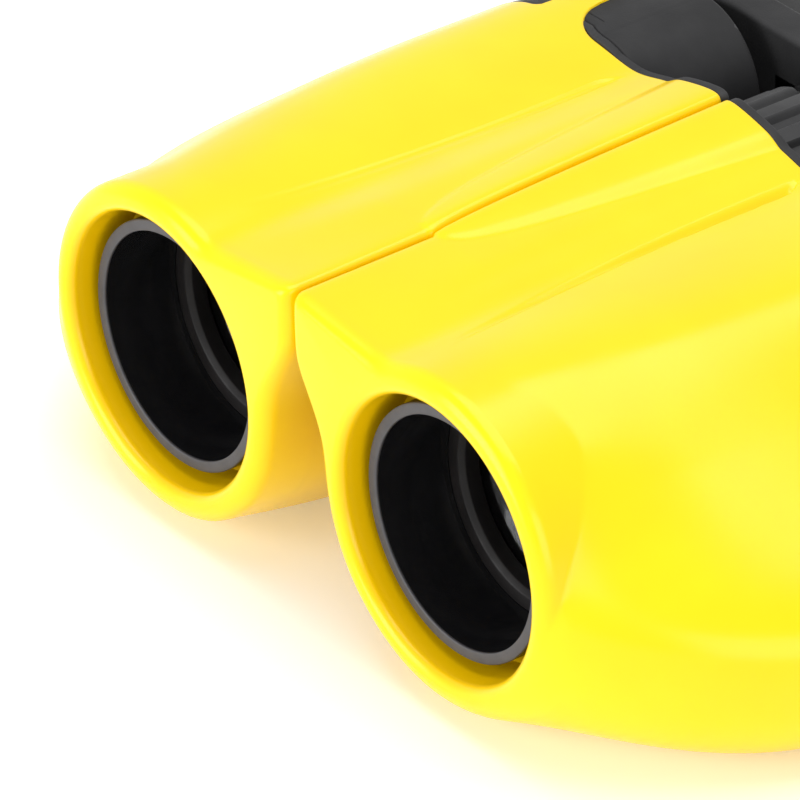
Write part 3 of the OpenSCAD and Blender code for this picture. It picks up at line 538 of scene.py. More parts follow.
def furrow(a, r, y):
    """Valley between web and barrel: depth * exp(-|(x - x0) / w|^3), deeper towards the back."""
    x = HALF + r * cosd(a)
    c0, c1, c2 = FURROW_X
    off = x - (c0 + c1 * y + c2 * y ** 2)
    depth = np.interp(y + FURROW_SLANT * off, *FURROW_DEPTH)
    width = np.interp(y, *FURROW_WIDTH)
    return depth * np.exp(-np.abs(off / width) ** 3) * (sind(a) > 0)


def outer_r(a, y, cut=1.0):
    """Body and web merged as (b^p + w^p)^(1/p), the spine by a higher p, less a share of furrow."""
    a, y = np.broadcast_arrays(a, y)
    power = np.where(a > INNER_A, INNER_POWER, OUTER_POWER)
    edge = (body_r(a, y) ** power + web_r(a, y) ** power) ** (1 / power)
    r = edge * (1 + (spine_r(a, y) / edge) ** SPINE_POWER) ** (1 / SPINE_POWER)
    return r - cut * furrow(a, r, y)


def ring_points(a, r, y, inset=0.0):
    """Points of rings round the right barrel; the belly is flattened where the part rests."""
    a, r, y, inset = np.broadcast_arrays(a, r, y, inset)
    z = np.maximum((r - inset) * sind(a), inset - AXIS_Z)
    return np.stack([HALF + (r - inset) * cosd(a), y, z], -1)


def gathered(count, pull, at):
    """A turn of angles that crowd together near one angle: e - pull * sin(e - at)."""
    even = turns(count)
    return (even - pull * sind(even - at))[None, :]


shell_a = gathered(COLUMNS, 38, 145)
print(f"section at the joint: crest {float(outer_r(90.0, JOINT_Y)):.2f} mm from the axis")

# %% [markdown]
# ## Front shells
# Each shell is one moulding: a rolled lip round the objective, the flared housing, half of the web
# with the spine, and a tongue on the crest that laps over the black cover. It could be modelled by
# pushing points about, but a loft through rings keeps the formula's clean highlights. The rings run
# back along the outside, round the rear edge, forwards along the inside, and out through the throat
# to the lip again. The furrow hardly shows on the left shell, so only a share of it is cut there.

# %% Rows of the front shell
LIP_ROUND, THROAT_R, THROAT_ROUND, CELL_BORE = 1.65, 13.3, 1.05, 12.02
EDGE_ROUND, LAP, LATE_Y, DEEP_Y = 0.25, 0.33, 43.0, 9.5
TONGUE_A, TONGUE_SPREAD, TONGUE_END, TIP_FALL = 73.5, 5.1, 56.5, 3.0
INNER_FILLET, OUTER_FILLET = (18.0, 5.0), (4.0, 1.5)  # degrees wide, mm high
OUTSIDE_Y = np.concatenate([np.arange(-0.6, 6, 0.4), np.arange(6, 13.4, 0.65),
                            np.arange(13.45, 17, 0.25), np.arange(17.2, LATE_Y, 0.65)])[:, None]
THROAT = [[CELL_BORE, 8.0], [CELL_BORE, 5.0], [THROAT_R, 3.9], [THROAT_R, 2.0], [THROAT_R, 0.2]]
FURROW_SHARES = {"left": 0.25, "right": 1.0}


def rear_edge(a):
    """Rear edge along y: the joint, but for the tongue's tip and the fillets at its foot.

    With u the share of the tongue's half width, the tip is end - fall * u^4. With s from 0 to 1
    across a fillet, the foot is joint + rise * (1 - (1 - (1 - s)^2)^0.5).
    """
    off = np.abs(a - TONGUE_A) / TONGUE_SPREAD
    tip = TONGUE_END - TIP_FALL * off ** 4
    width, rise = (np.where(a > TONGUE_A, inner, outer)
                   for inner, outer in zip(INNER_FILLET, OUTER_FILLET))
    fillet = np.clip((off - 1) * TONGUE_SPREAD / width, 0, 1)
    foot = JOINT_Y + rise * (1 - np.sqrt(1 - (1 - fillet) ** 2))
    return np.where(off < 1, tip, foot)


def shell_rings(cut):
    """Lip, outside, tongue, rear edge, inside and throat, in order; cut is the furrow's share."""
    a, end = shell_a, rear_edge(shell_a)
    turn = steps(0, 90, 10)
    lip_y = LIP_Y + LIP_ROUND * (1 - cosd(turn))
    lip = ring_points(a, outer_r(a, lip_y, cut), lip_y, LIP_ROUND * (1 - sind(turn)))
    outside = ring_points(a, outer_r(a, OUTSIDE_Y, cut), OUTSIDE_Y)
    late_y = LATE_Y + steps(0, 1, 34) * (end - EDGE_ROUND - LATE_Y)
    lap = ring_points(a, outer_r(a, np.minimum(late_y, JOINT_Y), cut), late_y)
    last = outer_r(a, JOINT_Y)
    turn = steps(22.5, 90, 4)
    edge = ring_points(a, last, end - EDGE_ROUND * (1 - sind(turn)), EDGE_ROUND * (1 - cosd(turn)))
    under = [ring_points(a, last - LAP, y) for y in (end, JOINT_Y)]
    inner_y = steps(JOINT_Y, DEEP_Y, 30)
    inside = ring_points(a, body_r(a, inner_y), inner_y, WALL)
    turn = steps(0, 90, 8)
    rolled = np.hstack([THROAT_R + THROAT_ROUND * (1 - cosd(turn)),
                        LIP_Y + THROAT_ROUND * (1 - sind(turn))])
    bore = np.concatenate([THROAT, rolled])
    mouth = ring_points(a, bore[:, :1], bore[:, 1:])
    return np.concatenate([lip, outside, lap, edge, *under, inside, mouth])


shell_skins = {name: skin(shell_rings(cut), True) for name, cut in FURROW_SHARES.items()}
print("rings and columns of a shell:", shell_skins["right"][0].shape[:2])

# %% [markdown]
# ## Hinge knuckles
# The halves turn on a steel tube through four knuckles, two moulded on each shell. A knuckle is a
# flat outline carried along the hinge, with a bore and softened edges. The same helper makes lugs,
# eyelets and the bridge, so it takes any outline and any round holes, and fills the two flat ends
# with triangles.

# %% Plates with holes
HINGE_Z, STEM = 5.7, 0.6
HOLE_COLUMNS, HOLE_SOFT = 64, 0.25
QUARTER = np.linspace(0, 90, 5)
MITRE = 0.5  # least divisor of a mean normal, so that a sharp corner doesn't shoot inwards


def shrink(outline, inset):
    """An outline moved inwards along the mean normal of the two sides at each point."""
    step = np.roll(outline, -1, 0) - outline
    step = step / np.linalg.norm(step, axis=1, keepdims=True)
    normal = np.stack([-step[:, 1], step[:, 0]], -1)
    mean = normal + np.roll(normal, 1, 0)
    mean = mean / np.maximum(MITRE, (mean ** 2).sum(1, keepdims=True) / 2)
    return outline + inset * mean


def standing(loop, y):
    """A loop in x and z, stood across the barrel at y."""
    return np.stack([loop[:, 0], np.full(len(loop), y), loop[:, 1]], -1)


def fill(loops, y, flip):
    """Triangles at y that fill the outline in the first loop less the holes in the others."""
    flat = np.concatenate(loops)
    faces = np.array(tessellate_polygon([[(x, z, 0) for x, z in loop] for loop in loops]))
    p = flat[faces]
    cross = np.cross(p[:, 1] - p[:, 0], p[:, 2] - p[:, 0])
    faces = np.where((cross > 0)[:, None] == flip, faces[:, ::-1], faces)
    return standing(flat, y), [faces]


def tube_rows(x, z, rows, count=96):
    """A ring for each (radius, y) in rows, round the axis through (x, z)."""
    a = turns(count)
    r, y = np.asarray(rows, float).T
    return np.stack([x + np.outer(r, cosd(a)), y[:, None] + 0 * a, z + np.outer(r, sind(a))], -1)


def soft_rows(y0, y1, soft):
    """Heights and insets of a wall whose two edges are quarter rounds."""
    turn = QUARTER[::-1]
    y = np.concatenate([y0 + soft * (1 - cosd(QUARTER)), y1 - soft * (1 - cosd(turn))])
    inset = soft * (1 - np.concatenate([sind(QUARTER), sind(turn)]))
    return y, inset


def plate(outline, holes, y0, y1, soft=0.3):
    """An anticlockwise outline in x and z from y0 to y1, with round holes (x, z, r) through it."""
    heights, insets = soft_rows(y0, y1, soft)
    loops = [shrink(outline, i) for i in insets]
    parts = [skin(np.stack([standing(p, y) for p, y in zip(loops, heights)]))]
    ends = [loops[0]]
    depth, ease = soft_rows(y0, y1, min(soft, HOLE_SOFT))
    for x, z, r in holes:
        rim = tube_rows(x, z, np.stack([r + ease, depth], -1), HOLE_COLUMNS)
        parts.append(skin(rim[::-1]))
        ends.append(rim[0][:, [0, 2]])
    return parts + [fill(ends, y0, False), fill(ends, y1, True)]


def stem_outline(r, half, arm, count=72):
    """A round of radius r with a straight stem of half width half that reaches to x = arm."""
    start = np.degrees(np.arcsin(half / r))
    a = np.linspace(start, 360 - start, count)
    side = steps(0, 1, 6)[1:]
    low = np.array([[r * cosd(start), -half]])
    right = np.array([[arm, -half]])
    top = np.array([[arm, half]])
    arc = np.stack([r * cosd(a), r * sind(a)], -1)
    return np.concatenate([arc, low + side * (right - low), right + side * (top - right),
                           top + side[:-1] * (arc[:1] - top)])


def knuckle(r, arm, y0, y1, hole):
    """A bored plate on the hinge's axis: a round of radius r with a stem out to x = arm."""
    outline = stem_outline(r, STEM * r, arm) + [0, HINGE_Z]
    return plate(outline, [(0, HINGE_Z, hole)], y0, y1)


# %% Make the front shells
KNUCKLE_Y, KNUCKLE, PITCH, KNUCKLE_R, KNUCKLE_ARM = 8.0, 8.0, 8.5, 4.6, 7.9
KNUCKLES = {"left": ((0, 2), 3.02), "right": ((1, 3), 3.05)}  # places along the hinge, bore radius
for side, name in SIDES:
    order, hole = KNUCKLES[name]
    starts = [KNUCKLE_Y + PITCH * i for i in order]
    knuckles = [part for y in starts
                for part in knuckle(KNUCKLE_R, KNUCKLE_ARM, y, y + KNUCKLE, hole)]
    make_piece(name + "_shell", name + "_half", [shell_skins[name]] + knuckles, yellow_shell,
               "yellow_shell", [name + "_front_shell"], side)

# %% [markdown]
# ## Rear covers
# A black cover closes the back of each half. Its rim follows the yellow edge, web and spine
# included, as a thin lip, and behind the lip the surface falls into a pit that leaves room for a
# finger on the focus wheel. The cover is lofted like the shell, then closed with a flat back that
# has holes for the eyepiece and for two screws.

# %% Rear cover rings
COVER_COLUMNS = 360
COVER_END, COVER_STEP, BACK_ROUND, BACK_WALL = 60.0, 0.36, 0.5, 2.0
RIM_STEP, RIM_WIDTH, RIM_ROUND, RIM_HOLD, RIM_FADE, SEAM = 0.12, 1.0, 0.25, 0.5, 0.4, 0.03
PIT_LINES = OUTER_LINES + [(180, 9.75)]
HOLLOW_R, HOLLOW_X, HOLLOW_FROM, HOLLOW_TO = 8, 1.47, 95, 139.6
MIDDLE_Y, PIT_Y = 53.0, 49.2
# Rows of the lip's front and back rounds (y, inset), and of the fall behind it (height share, y).
FRONT_ROWS = np.array([[0.0, 0.2], [0.06, 0.06], [0.2, 0.0]])
TOP_ROWS = np.array([[0.0, 0.0], [0.17, 0.08], [0.25, 0.25]])
FALL_ROWS = np.array([[0.9, 0.03], [0.6, 0.08], [0.3, 0.16], [0.12, 0.32], [0.04, 0.7], [0.0, 1.2]])
cover_a = gathered(COVER_COLUMNS, 30, 140)


def cover_r(a):
    """The pit's side and the housing's lines, and a round of radius R about (-e, R) between them.

    That round lies at d + (d^2 - e^2)^0.5, with d = R sin a - e cos a.
    """
    along = HOLLOW_R * sind(a) - HOLLOW_X * cosd(a)
    hollow = along + np.sqrt(np.maximum(along ** 2 - HOLLOW_X ** 2, 0))
    base = rounded(a, PIT_LINES) - COVER_STEP
    return np.where((a > HOLLOW_FROM) & (a < HOLLOW_TO), np.minimum(base, hollow), base)


def cover_rings():
    """Inside, front edge, lip, the fall behind it, the pit's wall and the back's round, in order."""
    a, base = cover_a, cover_r(cover_a)
    end = rear_edge(a)
    full = np.maximum(base, outer_r(a, JOINT_Y) - RIM_STEP)
    rim = base + (full - base) * np.clip((JOINT_Y + RIM_HOLD - end) / RIM_FADE, 0, 1)
    start = np.minimum(end, JOINT_Y + RIM_HOLD) + SEAM
    inside = [ring_points(a, base, y, WALL) for y in (COVER_END - BACK_WALL, MIDDLE_Y, start)]
    front = ring_points(a, rim, start + FRONT_ROWS[:, :1], FRONT_ROWS[:, 1:])
    top = ring_points(a, rim, start + RIM_WIDTH - RIM_ROUND + TOP_ROWS[:, :1], TOP_ROWS[:, 1:])
    fall = ring_points(a, base + (rim - RIM_ROUND - base) * FALL_ROWS[:, :1],
                       start + RIM_WIDTH + FALL_ROWS[:, 1:])
    wall = ring_points(a, base, steps(PIT_Y, COVER_END - BACK_ROUND, 12))
    turn = steps(15, 90, 6)
    back = ring_points(a, base, COVER_END - BACK_ROUND * (1 - sind(turn)),
                       BACK_ROUND * (1 - cosd(turn)))
    return np.concatenate([*inside, front, top, fall, wall, back])


# %% Holes, eyelets and lugs of the covers
EYE = np.array([33.959, -4.009])
SCREWS = np.array([[HALF + 0.2 * AXIS_Z, -0.751 * AXIS_Z],
                   [HALF + 0.765 * SIDE[1], -0.31 * SIDE[1]]])
GUIDE_R, SCREW_R, SCREW_COLUMNS = 9.05, 1.95, 48
# Rows of a hole through the back: radius, and depth under the back.
GUIDE = [(9.3, 0.0), (9.1, 0.25), (GUIDE_R, 0.6), (GUIDE_R, BACK_WALL)]
HEAD = [(2.05, 0.0), (SCREW_R, 0.15), (SCREW_R, 1.2), (SCREW_R, BACK_WALL)]
SLEEVE_R, SLEEVE_Y0, SLEEVE_Y1 = 10.4, 53.5, COVER_END - 1.6
EYELET_R, EYELET_HALF, EYELET_ARM, EYELET_BORE = 3.1, 3.0, 3.3, 1.6
EYELET_HIGH, EYELET_SOFT, EYELET_AT = 4.0, 0.4, [50.55, 62.35, -5.5]
LUG_R, LUG_BORE = 4.8, 3.45


def cover_parts():
    """The loft, its holes, a flat fill on both faces of the back, and the eyepiece's sleeve."""
    rings = cover_rings()
    guide, head = ([(r, COVER_END - d) for r, d in rows] for rows in (GUIDE, HEAD))
    walls = [tube_rows(*EYE, guide)] + [tube_rows(*p, head, SCREW_COLUMNS) for p in SCREWS]
    parts = [skin(rows) for rows in [rings] + walls]
    for at, ring, flip in ((0, rings[-1], True), (-1, rings[0], False)):
        loops = [ring[:, [0, 2]]] + [w[at][:, [0, 2]] for w in walls]
        parts.append(fill(loops, ring[0, 1], flip))
    sleeve = [(GUIDE_R, SLEEVE_Y0), (SLEEVE_R, SLEEVE_Y0),
              (SLEEVE_R, SLEEVE_Y1), (GUIDE_R, SLEEVE_Y1)]
    return parts + [skin(tube_rows(*EYE, sleeve), True)]


def eyelet():
    """A flat-sided loop behind the outer corner: a stem outline, turned to stand its bore up."""
    outline = stem_outline(EYELET_R, EYELET_HALF, EYELET_ARM)[:, ::-1] * [-1, 1]
    turn = np.array([[1, 0, 0], [0, 0, 1], [0, -1, 0]])
    return [(np.reshape(p, (-1, 3)) @ turn + EYELET_AT, f)
            for p, f in plate(outline, [(0, 0, EYELET_BORE)], 0.0, EYELET_HIGH, EYELET_SOFT)]


LUGS = (knuckle(LUG_R, 10.1, 47.1, 49.1, LUG_BORE)
        + knuckle(LUG_R, 12.7, 57.7, COVER_END, LUG_BORE))
for side, name in SIDES:
    parts = cover_parts() + eyelet() + (LUGS if side < 0 else [])
    make_piece(name + "_cover", name + "_half", parts, black_cover, "black_plastic",
               [name + "_rear_cover"], side)

# %% [markdown]
# ## Turned pieces
# Tubes, rings and lenses are turned about an axis, so each needs only a profile of radius against
# y. Real edges are never knife sharp, and a sharp edge catches no light, so a helper first rounds
# every corner of the profile with a small curve.

# %% Lathe
CURVE_SHARE = 0.45  # most of a side that one corner's curve takes up
LENS_SHARP = 60


def soften(profile, radius, closed=True, count=4):
    """Each corner P between A and B on its sides becomes (1-s)^2 A + 2 s (1-s) P + s^2 B."""
    p = np.asarray(profile, float)
    before, after = np.roll(p, 1, 0) - p, np.roll(p, -1, 0) - p
    far = np.stack([np.linalg.norm(before, axis=1), np.linalg.norm(after, axis=1)])
    back = np.minimum(radius, CURVE_SHARE * far)[..., None] / np.maximum(far, 1e-9)[..., None]
    s = steps(0, 1, count)[None]
    a, b = (p + back[0] * before)[:, None], (p + back[1] * after)[:, None]
    curve = (1 - s) ** 2 * a + 2 * s * (1 - s) * p[:, None] + s ** 2 * b
    if closed:
        return curve.reshape(-1, 2)
    return np.concatenate([p[:1], curve[1:-1].reshape(-1, 2), p[-1:]])


def lathe(profile, at, radius=0.15, closed=True, count=144):
    """A profile of (radius, y), back along the outside and forwards inside, turned about y."""
    return skin(tube_rows(*at, soften(profile, radius, closed), count), closed)


def lens_profile(r, y0, y1, bulge, count=24):
    """Two sphere caps of height b and radius R, with a straight edge between them.

    At radius r a cap lies f - (f^2 - r^2)^0.5 inside its pole, with f = (R^2 + b^2) / 2b.
    """
    f = (r * r + bulge * bulge) / (2 * bulge)
    rr = np.linspace(0, r, count)
    sag = f - np.sqrt(f * f - rr * rr)
    return np.concatenate([np.stack([rr, y0 + sag], -1), np.stack([rr[::-1], y1 - sag[::-1]], -1)])


def span(node):
    """A node's extent along the barrel, in millimetres from the front of the tubes."""
    low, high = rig.box(node)
    return low.y * MM - FRONT_Y, high.y * MM - FRONT_Y


def lens(node, r, bulge, at):
    """A lens of radius r, as long as its node, turned about an axis."""
    return skin(tube_rows(*at, lens_profile(r, *span(node), bulge)))


# %% Objectives
BARREL = (HALF, 0.0)
CELL_R, CELL_INNER, STOP_R, GLASS_R, RING_R = 12, 10.9, 9.6, 10.88, 9
cell_end = span("right_objective_cell")[1]
ring_y0, ring_y1 = span("right_lens_retainer")
shoulder = span("right_objective_lens")[1] - 0.9
cell = [(CELL_R, 0), (CELL_R, cell_end), (STOP_R, cell_end), (STOP_R, shoulder),
        (CELL_INNER, shoulder), (CELL_INNER, 0)]
ring = [(GLASS_R, ring_y0), (GLASS_R, ring_y1), (RING_R, ring_y1), (RING_R, ring_y0 + 0.5),
        (RING_R + 0.5, ring_y0)]
for side, name in SIDES:
    make_piece(name + "_cell", name + "_half", [lathe(cell, BARREL, 0.16)], cell_black,
               "black_tube", [name + "_objective_cell"], side)
    make_piece(name + "_retainer", name + "_half", [lathe(ring, BARREL, 0.12)], ring_grey,
               "grey_ring", [name + "_lens_retainer"], side)
    glass = lens("right_objective_lens", GLASS_R, 1.6, BARREL)
    make_piece(name + "_front_lens", name + "_half", [glass], front_glass, "glass",
               [name + "_objective_lens"], side, LENS_SHARP)

# %% [markdown]
# ## Focus wheel
# The wheel lies in the pit between the halves and turns on two thin journals. Its ribs are flat on
# top with round-shouldered grooves between them, and they run out at both ends. The wheel is a
# turned profile whose radius is lowered by a wave round the axis.

# %% Ribbed wheels
GROOVE_FROM, GROOVE_RUN = -0.55, 0.75  # cosines where a groove's floor ends, and its shoulder's run
END_BAND = 0.01


def ribbed(profile, at, ribs, depth, tread, radius, per_rib):
    """A lathe that loses depth * (1 - 3t^2 + 2t^3) past the tread, t a clipped line of cos(ribs a)."""
    rows = soften(profile, radius)
    r, y = rows[:, :1], rows[:, 1:]
    a = turns(ribs * per_rib)[None, :]
    t = np.clip((cosd(ribs * a) - GROOVE_FROM) / GROOVE_RUN, 0, 1)
    gap = 1 - t * t * (3 - 2 * t)
    on = (r > tread) * np.clip((np.minimum(y - y.min(), y.max() - y)) / END_BAND, 0, 1)
    r = r - depth * gap * on
    return skin(np.stack([at[0] + r * cosd(a), y + 0 * a, at[1] + r * sind(a)], -1), True)


HINGE = (0.0, HINGE_Z)
WHEEL_R, WHEEL_SIDE, JOURNAL_R, WHEEL_BORE = 9, 8.3, 3.4, 2.05
WHEEL_Y0, WHEEL_Y1 = 47.1, 60
wheel_profile = [(JOURNAL_R, WHEEL_Y0), (JOURNAL_R, 49.4), (WHEEL_SIDE, 49.4), (WHEEL_R, 50.0),
                 (WHEEL_R, 51.0), (WHEEL_R, 56.0), (WHEEL_R, 56.8), (WHEEL_SIDE, 57.4),
                 (JOURNAL_R, 57.4), (JOURNAL_R, WHEEL_Y1), (WHEEL_BORE, WHEEL_Y1),
                 (WHEEL_BORE, WHEEL_Y0)]
wheel = ribbed(wheel_profile, HINGE, ribs=16, depth=0.8, tread=8.5, radius=0.35, per_rib=24)
make_piece("wheel", "focus_wheel", [wheel], wheel_plastic, "black_plastic", ["focus_wheel"])

# %% Cap and nut on the hinge axis
CAP_PIN, NUT_PIN, NUT_R = 2.18, 2.02, 4.4
cap = [(0, 6.6), (4.6, 6.6), (4.6, 8), (CAP_PIN, 8), (CAP_PIN, 10.8), (0, 10.8)]
make_piece("front_cap", "left_half", [lathe(cap, HINGE, 0.4, False)], black_plastic,
           "black_plastic", ["hinge_cap"])
nut_y0, nut_y1 = span("bridge_nut")
nut = [(0, nut_y1 - 0.8), (NUT_PIN, nut_y1 - 0.8), (NUT_PIN, nut_y0), (NUT_R, nut_y0),
       (NUT_R, nut_y1), (3.2, nut_y1), (2.9, nut_y1 - 0.3), (0, nut_y1 - 0.3)]
make_piece("nut", "left_eyepiece", [lathe(nut, HINGE, 0.3, False)], black_plastic,
           "black_plastic", ["bridge_nut"])

# %% [markdown]
# ## Eyepiece bridge
# The focus screw pulls both eyepieces along together through a bridge of two arms, which overlap in
# a half-thickness knuckle so that the pair can fold. Each arm is one plate from the ring round the
# eyepiece to the knuckle's edge, and one thinner plate for its knuckle.

# %% Bridge arms
BRIDGE_Y0, BRIDGE_Y1, BRIDGE_R, LEAF_R, TUBE_HOLE = 62.3, 66.3, 13.2, 8.8, 11.02
RING_TOP, RING_LOW = 69.4, -128.5  # degrees on the eyepiece's ring where top and foot leave it
FOOT_SHARE, LEAF_GAP = 0.72, 0.3
TOP_X, TOP_ROUND = 21.0, 4.0
LEAVES = {"left": (BRIDGE_Y0, 64.15, 2.02), "right": (64.45, BRIDGE_Y1, 2.05)}  # y from, y to, bore


def arm_outline():
    """Down the hollow arc at the knuckle, along the foot, round the eyepiece, back along the top."""
    top = HINGE_Z + LEAF_R
    low = EYE + BRIDGE_R * np.array([cosd(RING_LOW), sind(RING_LOW)])
    foot = low + (np.array([0, HINGE_Z - LEAF_R / 2]) - low) * FOOT_SHARE
    gap = LEAF_R + LEAF_GAP
    start, stop = np.arcsin(LEAF_R / gap), np.arctan2(foot[1] - HINGE_Z, foot[0])
    hollow = np.linspace(start, stop, 28)
    arc = np.stack([gap * np.cos(hollow), HINGE_Z + gap * np.sin(hollow)], -1)
    a = np.linspace(RING_LOW, RING_TOP, 80)
    ring = EYE + BRIDGE_R * np.stack([cosd(a), sind(a)], -1)
    corner = soften([ring[-1], (TOP_X, top), arc[0]], TOP_ROUND, False, 10)[1:-1]
    t = steps(0, 1, 12)[1:-1]
    return np.concatenate([arc, arc[-1:] + t * (ring[:1] - arc[-1:]), ring,
                           ring[-1:] + t * (corner[:1] - ring[-1:]), corner,
                           corner[-1:] + t * (arc[:1] - corner[-1:])])


for side, name in SIDES:
    y0, y1, hole = LEAVES[name]
    arm = plate(arm_outline(), [(*EYE, TUBE_HOLE)], BRIDGE_Y0, BRIDGE_Y1, 0.6)
    outline = stem_outline(LEAF_R, LEAF_R / 2, 12.0) + [0, HINGE_Z]
    leaf = plate(outline, [(0, HINGE_Z, hole)], y0, y1, 0.35)
    make_piece(name + "_arm", name + "_eyepiece", arm + leaf, black_cover, "black_plastic",
               [name + "_bridge_arm"], side)

# %% [markdown]
# ## Eyepieces
# The left eyepiece is one tube with a plain trim ring. The right one can be set to the eye: a
# ribbed ring turns, and the inner cell with the eye lens slides by a fraction of a millimetre. Both
# end in a soft rubber cup with a waist, so that it can fold.

# %% Profiles of tubes, rings and cups
TUBE_Y0, RING_Y0, RING_Y1 = span("left_eyepiece_tube")[0], 66.6, 71.6
CUP_Y, TUBE_Y1, OCULAR_Y0 = 72.7, 77.7, 63.7
SLIDE_R, TUBE_R, LENS_SEAT, BORE_R, OCULAR_R, OCULAR_BORE = 9, 11, 8.22, 7.7, 9.7, 9.75
TRIM_R, TRIM_GROOVE, GRIP_SIDE, GRIP_BORE = 13.2, 12.6, 12.5, 11.05
outside = [(SLIDE_R, TUBE_Y0), (SLIDE_R, BRIDGE_Y0), (TUBE_R, BRIDGE_Y0)]
seat = [(TUBE_R, TUBE_Y1), (LENS_SEAT, TUBE_Y1), (LENS_SEAT, RING_Y0), (BORE_R, RING_Y0)]
left_tube = outside + seat + [(BORE_R, TUBE_Y0)]
right_tube = outside + [(TUBE_R, RING_Y1), (OCULAR_BORE, RING_Y1), (OCULAR_BORE, 62.6),
                        (BORE_R, 62.6), (BORE_R, TUBE_Y0)]
ocular = ([(OCULAR_R, OCULAR_Y0), (OCULAR_R, CUP_Y), (TUBE_R, CUP_Y)] + seat
          + [(BORE_R, OCULAR_Y0)])
trim = [(TUBE_HOLE, RING_Y0), (TRIM_R, RING_Y0), (TRIM_R, 68.27), (TRIM_GROOVE, 68.5),
        (TRIM_GROOVE, 69.7), (TRIM_R, 69.93), (TRIM_R, RING_Y1), (TUBE_HOLE, RING_Y1)]
grip = [(GRIP_BORE, RING_Y0), (GRIP_SIDE, RING_Y0), (TRIM_R, RING_Y0 + 0.5),
        (TRIM_R, RING_Y1 - 0.5), (GRIP_SIDE, RING_Y1), (GRIP_BORE, RING_Y1)]
cup = np.array([(TUBE_HOLE, 0), (13.2, 0), (12.75, 2), (12.35, 4.2), (12.7, 6.5), (13.8, 9.2),
                (13.4, 10), (11.7, 10), (9.7, 6.3), (9.7, 5), (TUBE_HOLE, 5)]) + [0, CUP_Y]
keeper_y0, keeper_y1 = span("right_eye_retainer")
keeper = [(8.2, keeper_y0), (8.2, keeper_y1), (7.5, keeper_y1), (7.0, keeper_y0 + 0.6),
          (7.0, keeper_y0)]
print(f"eyepieces reach from {TUBE_Y0:.1f} to {cup[:, 1].max():.1f} mm")

# %% Make the eyepieces
BLACK_TURNED = (
    ("left_tube", "left_eyepiece", left_tube, 0.15, "left_eyepiece_tube", -1),
    ("right_tube", "right_eyepiece", right_tube, 0.15, "right_eyepiece_tube", 1),
    ("right_inner_cell", "right_ocular", ocular, 0.15, "right_ocular_cell", 1),
    ("left_ring", "left_eyepiece", trim, 0.25, "left_trim_ring", -1),
)
for name, body, profile, radius, node, side in BLACK_TURNED:
    make_piece(name, body, [lathe(profile, EYE, radius)], black_plastic, "black_plastic", [node],
               side)
ribs = ribbed(grip, EYE, ribs=32, depth=0.45, tread=12.8, radius=0.3, per_rib=14)
make_piece("right_grip", "dioptre_ring", [ribs], wheel_plastic, "black_plastic", ["dioptre_ring"])
CARRIERS = {"left": "left_eyepiece", "right": "right_ocular"}
EYE_GLASS_R, FIELD_GLASS_R, EYE_BULGE = 8.2, 7.68, 1.2
for side, name in SIDES:
    body = CARRIERS[name]
    make_piece(name + "_cup", body, [lathe(cup, EYE, 0.8)], eyecup_rubber, "rubber",
               [name + "_eyecup"], side)
    make_piece(name + "_keeper", body, [lathe(keeper, EYE, 0.12)], black_plastic, "black_plastic",
               [name + "_eye_retainer"], side)
    eye_glass = lens("right_eye_lens", EYE_GLASS_R, EYE_BULGE, EYE)
    make_piece(name + "_rear_lens", body, [eye_glass], lens_glass, "glass",
               [name + "_eye_lens"], side, LENS_SHARP)
    field_glass = lens("right_field_lens", FIELD_GLASS_R, EYE_BULGE, EYE)
    make_piece(name + "_inner_lens", name + "_eyepiece", [field_glass], lens_glass, "glass",
               [name + "_field_lens"], side, LENS_SHARP)

# %% [markdown]
# ## Pieces kept from the frame
# The prisms, their cages and springs, the screws, the hinge tube and its washers and the focus
# screw are plain turned, bent or ground pieces. The frame's own shapes are right for them, so they
# only get finishes.

# %% Finishes for the frame's own pieces
KEPT = {
    "prism_cage": black_plastic, "prism_straps": spring_steel, "front_prism": prism_glass,
    "rear_prism": prism_glass, "cover_screws": spring_steel, "hinge_tube": spring_steel,
    "hinge_washers": nylon, "focus_screw": brass,
}
for node, thing in frame["nodes"].items():
    found = [finish for end, finish in KEPT.items() if node.endswith(end)]
    if found:
        thing.data.materials.clear()
        thing.data.materials.append(found[0])
        print("finish on", node)

# %% [markdown]
# ## Studio
# The object stands on a white floor under three large soft lamps: one above, a weaker one to the
# right, and one in front, a little to the left. The background is white to the camera and in
# reflections, but it lights the object less than that, so the lamps give the shape. The floor keeps
# a soft shadow.

# %% Floor and world
WORLD_DIM, FLOOR_HALF, FLOOR_GLOW = 0.32, 1.5, 0.2


def white_to_the_eye(tree, dim, strength):
    """Brightness that shows as white to camera, gloss and glass, and dimmer to other light."""
    path = tree.nodes.new("ShaderNodeLightPath")
    total = path.outputs["Is Camera Ray"]
    for ray in ("Is Glossy Ray", "Is Transmission Ray"):
        add = tree.nodes.new("ShaderNodeMath")
        add.operation = "MAXIMUM"
        tree.links.new(total, add.inputs[0])
        tree.links.new(path.outputs[ray], add.inputs[1])
        total = add.outputs[0]
    tree.links.new(carry(tree.nodes, tree.links, total, (0, 1), (dim, 1.0)), strength)


scene = bpy.context.scene
world = bpy.data.worlds.new("studio")
world.use_nodes = True
scene.world = world
sky = world.node_tree.nodes["Background"]
sky.inputs["Color"].default_value = (*WHITE, 1)
white_to_the_eye(world.node_tree, WORLD_DIM, sky.inputs["Strength"])

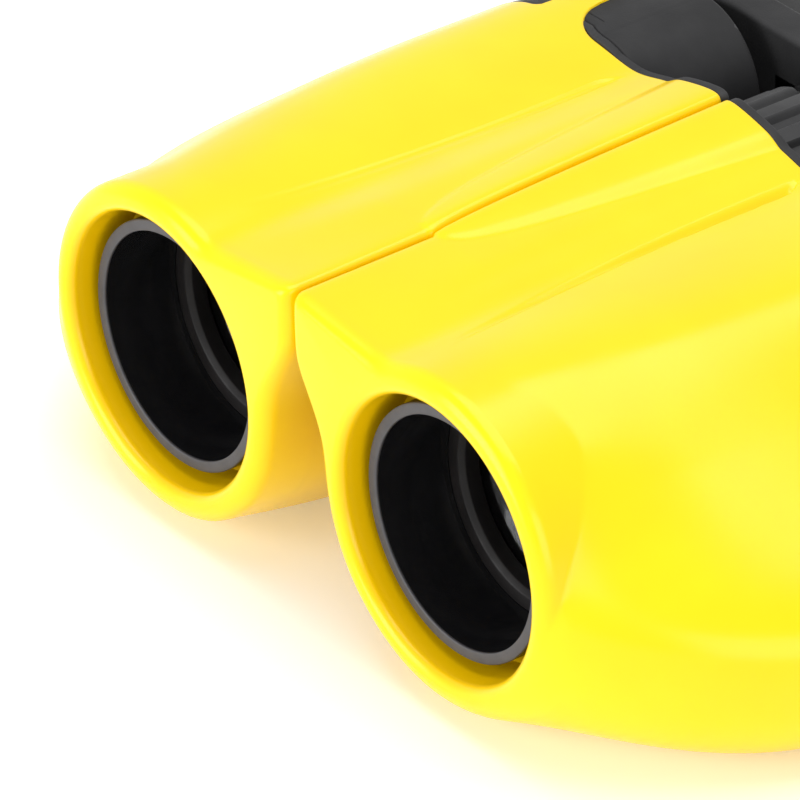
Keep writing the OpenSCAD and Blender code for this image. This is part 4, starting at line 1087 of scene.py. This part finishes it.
corners = np.array([[-1, -1, 0], [1, -1, 0], [1, 1, 0], [-1, 1, 0]]) * FLOOR_HALF
floor_mesh = bpy.data.meshes.new("floor")
floor_mesh.from_pydata(corners.tolist(), [], [[0, 1, 2, 3]])
floor = bpy.data.objects.new("floor", floor_mesh)
scene.collection.objects.link(floor)
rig.stage(floor)
paper, _, _, shader, _ = new_finish("paper")
shader.inputs["Base Color"].default_value = (0.92, 0.92, 0.92, 1)
shader.inputs["Roughness"].default_value = 0.9
shader.inputs["Specular IOR Level"].default_value = 0.0
shader.inputs["Emission Color"].default_value = (*WHITE, 1)
shader.inputs["Emission Strength"].default_value = FLOOR_GLOW
floor_mesh.materials.append(paper)
print("floor and world made")

# %% Lamps
MIDDLE = (0.0, 0.0, 0.015)
LAMPS = (  # name, place in metres, size in metres, watts
    ("above", (0.02, 0.05, 0.75), 0.7, 5.0),
    ("right", (0.72, -0.20, 0.16), 0.5, 2.1),
    ("front", (-0.22, -0.85, 0.24), 0.6, 5.8),
)
for name, at, size, power in LAMPS:
    lamp = bpy.data.lights.new(name, "AREA")
    lamp.size, lamp.energy = size, power
    thing = bpy.data.objects.new(name, lamp)
    thing.location = at
    thing.rotation_euler = (Vector(MIDDLE) - Vector(at)).to_track_quat("-Z", "Y").to_euler()
    scene.collection.objects.link(thing)
    print("lamp", name, "of", power, "W")

# %% [markdown]
# ## Camera
# The picture was taken from the front right and above, from some way off with a long lens. The
# camera's axes are worked out from its azimuth, elevation and roll, and its place from how far it
# is from the barrels' front.

# %% Camera
AZIMUTH, ELEVATION, ROLL = 53.237, 31.204, -1.119
DISTANCE, ACROSS, UP = 720.0, 7.776, 3.396
SENSOR, FOCAL = 36.0, 369.4
level = cosd(ELEVATION)
back = np.array([sind(AZIMUTH) * level, -cosd(AZIMUTH) * level, sind(ELEVATION)])
right = np.array([cosd(AZIMUTH), sind(AZIMUTH), 0.0])
up = np.cross(back, right)
right, up = cosd(ROLL) * right + sind(ROLL) * up, cosd(ROLL) * up - sind(ROLL) * right
eye = in_metres(right * ACROSS + up * UP + back * DISTANCE)[0]
camera = bpy.data.objects.new("camera", bpy.data.cameras.new("camera"))
camera.data.sensor_width, camera.data.lens = SENSOR, FOCAL
rows = [[*row, at] for row, at in zip(np.stack([right, up, back], 1), eye)]
camera.matrix_world = Matrix(rows + [[0, 0, 0, 1]])
scene.collection.objects.link(camera)
scene.camera = camera
scene.view_settings.view_transform = "Standard"
print("camera at", np.round(eye, 3))

# %% Sizes and the end
json.dump({"cad": [list(p) for p in cad_box], "visual": [list(p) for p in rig.bounds()]},
          open("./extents.json", "w"))
print("size:", open("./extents.json").read())
